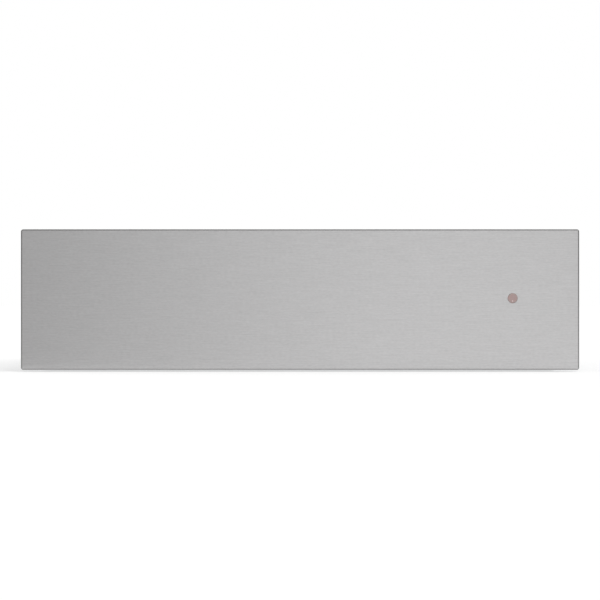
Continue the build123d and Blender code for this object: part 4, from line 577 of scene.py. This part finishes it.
dialLook = {"marks": 5, "sweep": 270, "print": 0.04 * mm, "dishDepth": 0.6 * mm,
            "digitHeight": 4.2 * mm, "digitRing": 18.6 * mm, "ticks": 9, "tickStart": 21.5 * mm,
            "tickEnd": 23.3 * mm, "tickWidth": 0.5 * mm, "tickFoot": 0.005 * mm}


def dialMarks():
    # digits in the dish round the knob, at even steps clockwise from the back, and ticks round the dish
    look = dialLook
    axis = jointPlace("thermostat_turn")
    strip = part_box("control_fascia")[1].z
    dish = strip - look["dishDepth"]
    for number in range(look["marks"]):
        angle = radians(90 - look["sweep"] * number / (look["marks"] - 1))
        mesh = printedMesh(str(number), look["digitHeight"], look["print"])
        spot = Vector((axis.x + look["digitRing"] * cos(angle), axis.y + look["digitRing"] * sin(angle),
                       dish + look["print"]))
        mesh.transform(Matrix.Translation(spot))
        addPiece(f"dial_digit_{number}", mesh, "print", "drawer")
    angle = np.radians(90 - look["sweep"] * np.arange(look["ticks"]) / (look["ticks"] - 1))
    along = np.stack([np.cos(angle), np.sin(angle)], axis=1)
    across = np.stack([-np.sin(angle), np.cos(angle)], axis=1) * look["tickWidth"] / 2
    corners = np.stack([along * look["tickStart"] - across, along * look["tickEnd"] - across,
                        along * look["tickEnd"] + across, along * look["tickStart"] + across], axis=1)
    points = np.empty((look["ticks"], 2, 4, 3))
    points[..., :2] = corners[:, None] + (axis.x, axis.y)
    points[:, 0, :, 2] = strip + look["tickFoot"]
    points[:, 1, :, 2] = strip + look["print"]
    addPiece("dial_ticks", shellMesh("dialTicks", points), "print", "drawer")
    print("dial printed")


dialMarks()


pointerLook = {"width": 1.3 * mm, "start": 3.2 * mm, "end": 13.0 * mm, "floor": 0.5 * mm,
               "foot": 0.02 * mm, "height": 0.35 * mm, "shoulder": 0.7, "bevel": 0.15 * mm,
               "cornerShare": 0.4, "cornerSteps": 4}


def knobPointer():
    # a white inlay in the knob's groove: rings that are rounded rectangles, the top one drawn in
    look = pointerLook
    axis = jointPlace("thermostat_turn")
    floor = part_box("thermostat_knob")[1].z - look["floor"]
    height = np.array([look["foot"], look["height"] * look["shoulder"], look["height"]])
    half = (look["end"] - look["start"]) / 2
    corner = look["width"] * look["cornerShare"]
    x, y = roundedRings(look["width"] / 2, half, corner, [0, 0, look["bevel"]], look["cornerSteps"])
    points = np.stack([x + axis.x, y + axis.y + look["start"] + half,
                       np.broadcast_to(height[:, None] + floor, x.shape)], axis=-1)
    addPiece("knob_pointer", shellMesh("knobPointer", points[None]), "print", "knob")


knobPointer()


rockerLook = {"markHeight": 4.2 * mm, "print": 0.04 * mm, "frontSpot": -4.4 * mm, "backSpot": 3.4 * mm}


def rockerMarks():
    # each mark lies on the plane of its half of the rocker, found by a ray from above
    axis = jointPlace("rocker_tilt")
    rocker = frame["nodes"]["switch_rocker"]
    for name, letter, place in (("off", "O", "frontSpot"), ("on", "I", "backSpot")):
        above = Vector((axis.x, axis.y + rockerLook[place], axis.z + 1))
        _, point, normal, _ = rocker.ray_cast(above, Vector((0, 0, -1)))
        mesh = printedMesh(letter, rockerLook["markHeight"], rockerLook["print"])
        lean = Matrix.Rotation(np.arctan2(-normal.y, normal.z), 4, "X")
        mesh.transform(Matrix.Translation(point + normal * rockerLook["print"]) @ lean)
        addPiece(f"rocker_mark_{name}", mesh, "print", "rocker")
    print("knob and rocker marked")


rockerMarks()


coilLook = {"wire": 0.45 * mm, "wireSamples": 4, "wallThickness": 7 * mm, "clearance": 0.4 * mm,
            "cornerRadius": 3 * mm, "cheek": 1.6 * mm, "cheekBevel": 0.3 * mm, "sunk": 1.0 * mm,
            "tapeWidth": 16 * mm, "tapeRise": 0.25 * mm, "lap": 0.12 * mm}


def coilBand(name, slot, along, inset, *replaced):
    # a closed band round the motor's lower leg: places along X, each with the inset of its ring
    low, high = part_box("motor_coil")
    middle, half = (low + high) / 2, (high - low) / 2
    y, z = roundedRings(half.y, half.z, coilLook["cornerRadius"], inset)
    x = np.broadcast_to(np.asarray(along)[:, None] + middle.x, y.shape)
    mesh = shellMesh(name, np.stack([x, y + middle.y, z + middle.z], axis=-1)[None], loop=True)
    mesh.shade_smooth()
    return addPiece(name, mesh, slot, "drawer", *replaced)


def motorCoil():
    # the winding's outer side is a row of arches, one for each turn: half the wire times 1 - |sin a| deep
    look = coilLook
    low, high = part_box("motor_coil")
    half = (high.x - low.x) / 2
    inner = look["wallThickness"] - look["clearance"]
    reach = half - look["cheek"]
    turns = int(2 * reach / look["wire"])
    place = np.linspace(-1, 1, turns * look["wireSamples"] + 1)
    arch = look["wire"] / 2 * (1 - np.abs(np.sin(place * turns * pi / 2)))
    coilBand("motor_winding", "enamelled_wire", np.concatenate([place * reach, [reach, -reach]]),
             np.concatenate([look["sunk"] + arch, [inner, inner]]), "motor_coil")
    edge = look["tapeWidth"] / 2
    tape = look["sunk"] - look["tapeRise"]
    under, lap = tape + look["tapeRise"] * 2, tape - look["lap"]
    coilBand("motor_coil_tape", "coil_tape", [-edge, -edge, 0, 0, edge, edge],
             [under, tape, tape, lap, lap, under])
    for side, sign in (("left", -1), ("right", 1)):
        ends = np.array([reach, half - look["cheekBevel"], half, half, reach])[::sign] * sign
        inset = np.array([0, 0, look["cheekBevel"], inner, inner])[::sign]
        coilBand(f"motor_bobbin_{side}", "natural_plastic", ends, inset)
    print("motor coil with", turns, "turns in its outer layer")


motorCoil()


springLook = {"wire": 0.6 * mm, "turns": 6, "deadTurns": 1.0, "deadPitch": 0.62 * mm, "stepsPerTurn": 32,
              "sides": 8, "boreEnd": 0.2 * mm, "slide": 3 * mm}


def latchSpring():
    # a wire carried along a coil whose end turns lie close: each ring is the coil's radial direction
    # times cos a plus its binormal times sin a, and the height is the running sum of the pitch
    look = springLook
    low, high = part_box("latch_spring")
    middle = (low + high) / 2
    radius = (high.x - low.x - look["wire"]) / 2
    steps = look["turns"] * look["stepsPerTurn"]
    turn = np.linspace(0, look["turns"], steps + 1)
    fromEnd = np.minimum(turn, look["turns"] - turn)
    ease = np.clip((fromEnd - look["deadTurns"] / 2) / look["deadTurns"], 0, 1)
    rise = np.concatenate([[0], np.cumsum((ease[1:] + ease[:-1]) / 2)])
    spare = high.y - low.y - look["wire"] - look["deadPitch"] * look["turns"]
    height = low.y + look["wire"] / 2 + look["deadPitch"] * turn + spare * rise / rise[-1]
    angle = 2 * pi * turn
    outward = np.stack([np.cos(angle), np.zeros(steps + 1), np.sin(angle)], axis=-1)
    spine = np.stack([np.full(steps + 1, middle.x), height, np.full(steps + 1, middle.z)], axis=-1)
    centre = spine + outward * radius
    along = np.gradient(centre, axis=0)
    along /= np.linalg.norm(along, axis=1, keepdims=True)
    binormal = np.cross(along, outward)
    side = np.linspace(0, 2 * pi, look["sides"], endpoint=False)[None, :, None]
    around = np.cos(side) * outward[:, None] + np.sin(side) * binormal[:, None]
    rings = centre[:, None] + look["wire"] / 2 * around
    mesh = shellMesh("latchCoil", rings[None])
    mesh.shade_smooth()
    spring = addPiece("latch_coil_spring", mesh, "zinc_plated", "housing", "latch_spring")
    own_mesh(spring)
    print("latch spring with", look["turns"], "turns")


latchSpring()


photoLook = {"frontPixels": 558.5, "frontCentre": (300.05, 299.65), "imagePixels": 600, "distance": 3.0,
             "sensor": 36, "farClip": 100}
studioLook = {"background": 1.0, "worldLight": 0.62, "floorReach": 30, "floorColour": (0.55, 0.55, 0.55),
              "floorGlow": 0.53, "sun": 1.25, "sunSpread": 40, "sunFrom": (1.1, -1.5, 2.0)}
cardLook = {  # shades at two places along X, those places, centre, half edge across, half edge up
    "leftCard": ((0.04, 1.0), (-1.3, 0.1), (-0.8, -1.5, 0.9), (0.9, 0, 0), (0, 0, 0.9)),
    "leftSideCard": ((0.3, 0.3), (-1, 1), (-1.7, -0.7, 0.6), (0, 0.8, 0), (0, 0, 0.6)),
    "leftFloorCard": ((0.04, 1.0), (-1.15, 0.1), (-0.75, -0.9, 0.002), (0.85, 0, 0), (0, 0.6, 0)),
    "rightCard": ((0.3, 0.3), (-1, 1), (1.4, -1.5, 0.6), (0, 1.6, 0), (0, 0, 0.6)),
    "rightFloorCard": ((0.3, 0.3), (-1, 1), (0.95, -1.0, 0.002), (0.45, 0, 0), (0, 0.8, 0)),
    "overheadCard": ((0.3, 0.3), (-1, 1), (0, -0.55, 0.75), (1.2, 0, 0), (0, 0.4, 0)),
}


def seenDirectly(tree):
    # 1 for camera, glossy and transmission rays, 0 for the rays that carry diffuse light
    path = tree.nodes.new("ShaderNodeLightPath")
    seen = reckon(tree, "ADD", path.outputs["Is Camera Ray"], path.outputs["Is Glossy Ray"])
    seen = reckon(tree, "ADD", seen, path.outputs["Is Transmission Ray"])
    return reckon(tree, "MINIMUM", seen, 1)


def makeWorld():
    # white where it is seen or mirrored, and plainer as a light
    world = bpy.data.worlds.new("studioWorld")
    world.use_nodes = True
    tree = world.node_tree
    background = tree.nodes["Background"]
    background.inputs["Color"].default_value = (1, 1, 1, 1)
    strength = spread(tree, seenDirectly(tree), 0, 1, studioLook["worldLight"], studioLook["background"])
    tree.links.new(strength, background.inputs["Strength"])
    bpy.context.scene.world = world


def flatCard(name, centre, across, up):
    # a rectangle at centre, spanned by two half edges
    centre, across, up = Vector(centre), Vector(across), Vector(up)
    corners = [centre - across - up, centre + across - up, centre + across + up, centre - across + up]
    mesh = bpy.data.meshes.new(name)
    mesh.from_pydata([tuple(corner) for corner in corners], [], [(0, 1, 2, 3)])
    card = bpy.data.objects.new(name, mesh)
    bpy.context.scene.collection.objects.link(card)
    return card


def makeFloor():
    reach = studioLook["floorReach"]
    floor = flatCard("floor", (0, 0, 0), (reach, 0, 0), (0, reach, 0))
    material = bpy.data.materials.new("paleFloor")
    material.use_nodes = True
    tree = material.node_tree
    shader = tree.nodes["Principled BSDF"]
    shader.inputs["Base Color"].default_value = (*studioLook["floorColour"], 1)
    shader.inputs["Roughness"].default_value = 1
    shader.inputs["Specular IOR Level"].default_value = 0
    shader.inputs["Emission Color"].default_value = (1, 1, 1, 1)
    glow = spread(tree, seenDirectly(tree), 0, 1, 0, studioLook["floorGlow"])
    tree.links.new(glow, shader.inputs["Emission Strength"])
    floor.data.materials.append(material)


def makeCard(name, shadeEnds, shadePlaces, centre, across, up):
    # a card that only reflections see, shaded evenly from one place along X to another
    card = flatCard(name, centre, across, up)
    material = bpy.data.materials.new(name)
    material.use_nodes = True
    tree = material.node_tree
    tree.nodes.remove(tree.nodes["Principled BSDF"])
    emission = tree.nodes.new("ShaderNodeEmission")
    shade = spread(tree, axesOf(tree)["X"], *shadePlaces, *shadeEnds)
    tree.links.new(shade, emission.inputs["Strength"])
    tree.links.new(emission.outputs["Emission"], tree.nodes["Material Output"].inputs["Surface"])
    card.data.materials.append(material)
    card.visible_camera = False
    card.visible_diffuse = False
    card.visible_shadow = False
    card.visible_transmission = False


def makeSun():
    # one wide soft lamp for the shadows, which metal doesn't mirror
    light = bpy.data.lights.new("softKey", "SUN")
    light.energy = studioLook["sun"]
    light.angle = radians(studioLook["sunSpread"])
    lamp = bpy.data.objects.new("softKey", light)
    bpy.context.scene.collection.objects.link(lamp)
    lamp.rotation_euler = Vector(studioLook["sunFrom"]).to_track_quat("Z", "Y").to_euler()
    lamp.visible_glossy = False


def makeCamera():
    low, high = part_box("front_panel")
    pixel = (high.x - low.x) / photoLook["frontPixels"]
    camera = bpy.data.cameras.new("camera")
    camera.sensor_width = photoLook["sensor"]
    camera.lens = photoLook["sensor"] * photoLook["distance"] / (pixel * photoLook["imagePixels"])
    camera.clip_end = photoLook["farClip"]
    holder = bpy.data.objects.new("camera", camera)
    bpy.context.scene.collection.objects.link(holder)
    aside, down = (place - photoLook["imagePixels"] / 2 for place in photoLook["frontCentre"])
    holder.location = ((low.x + high.x) / 2 - aside * pixel, low.y - photoLook["distance"],
                       (low.z + high.z) / 2 + down * pixel)
    holder.rotation_euler = (pi / 2, 0, 0)
    bpy.context.scene.camera = holder


makeWorld()
makeFloor()
for cardName, card in cardLook.items():
    makeCard(cardName, *card)
makeSun()
makeCamera()
bpy.context.scene.view_settings.view_transform = "Standard"
print("studio set")
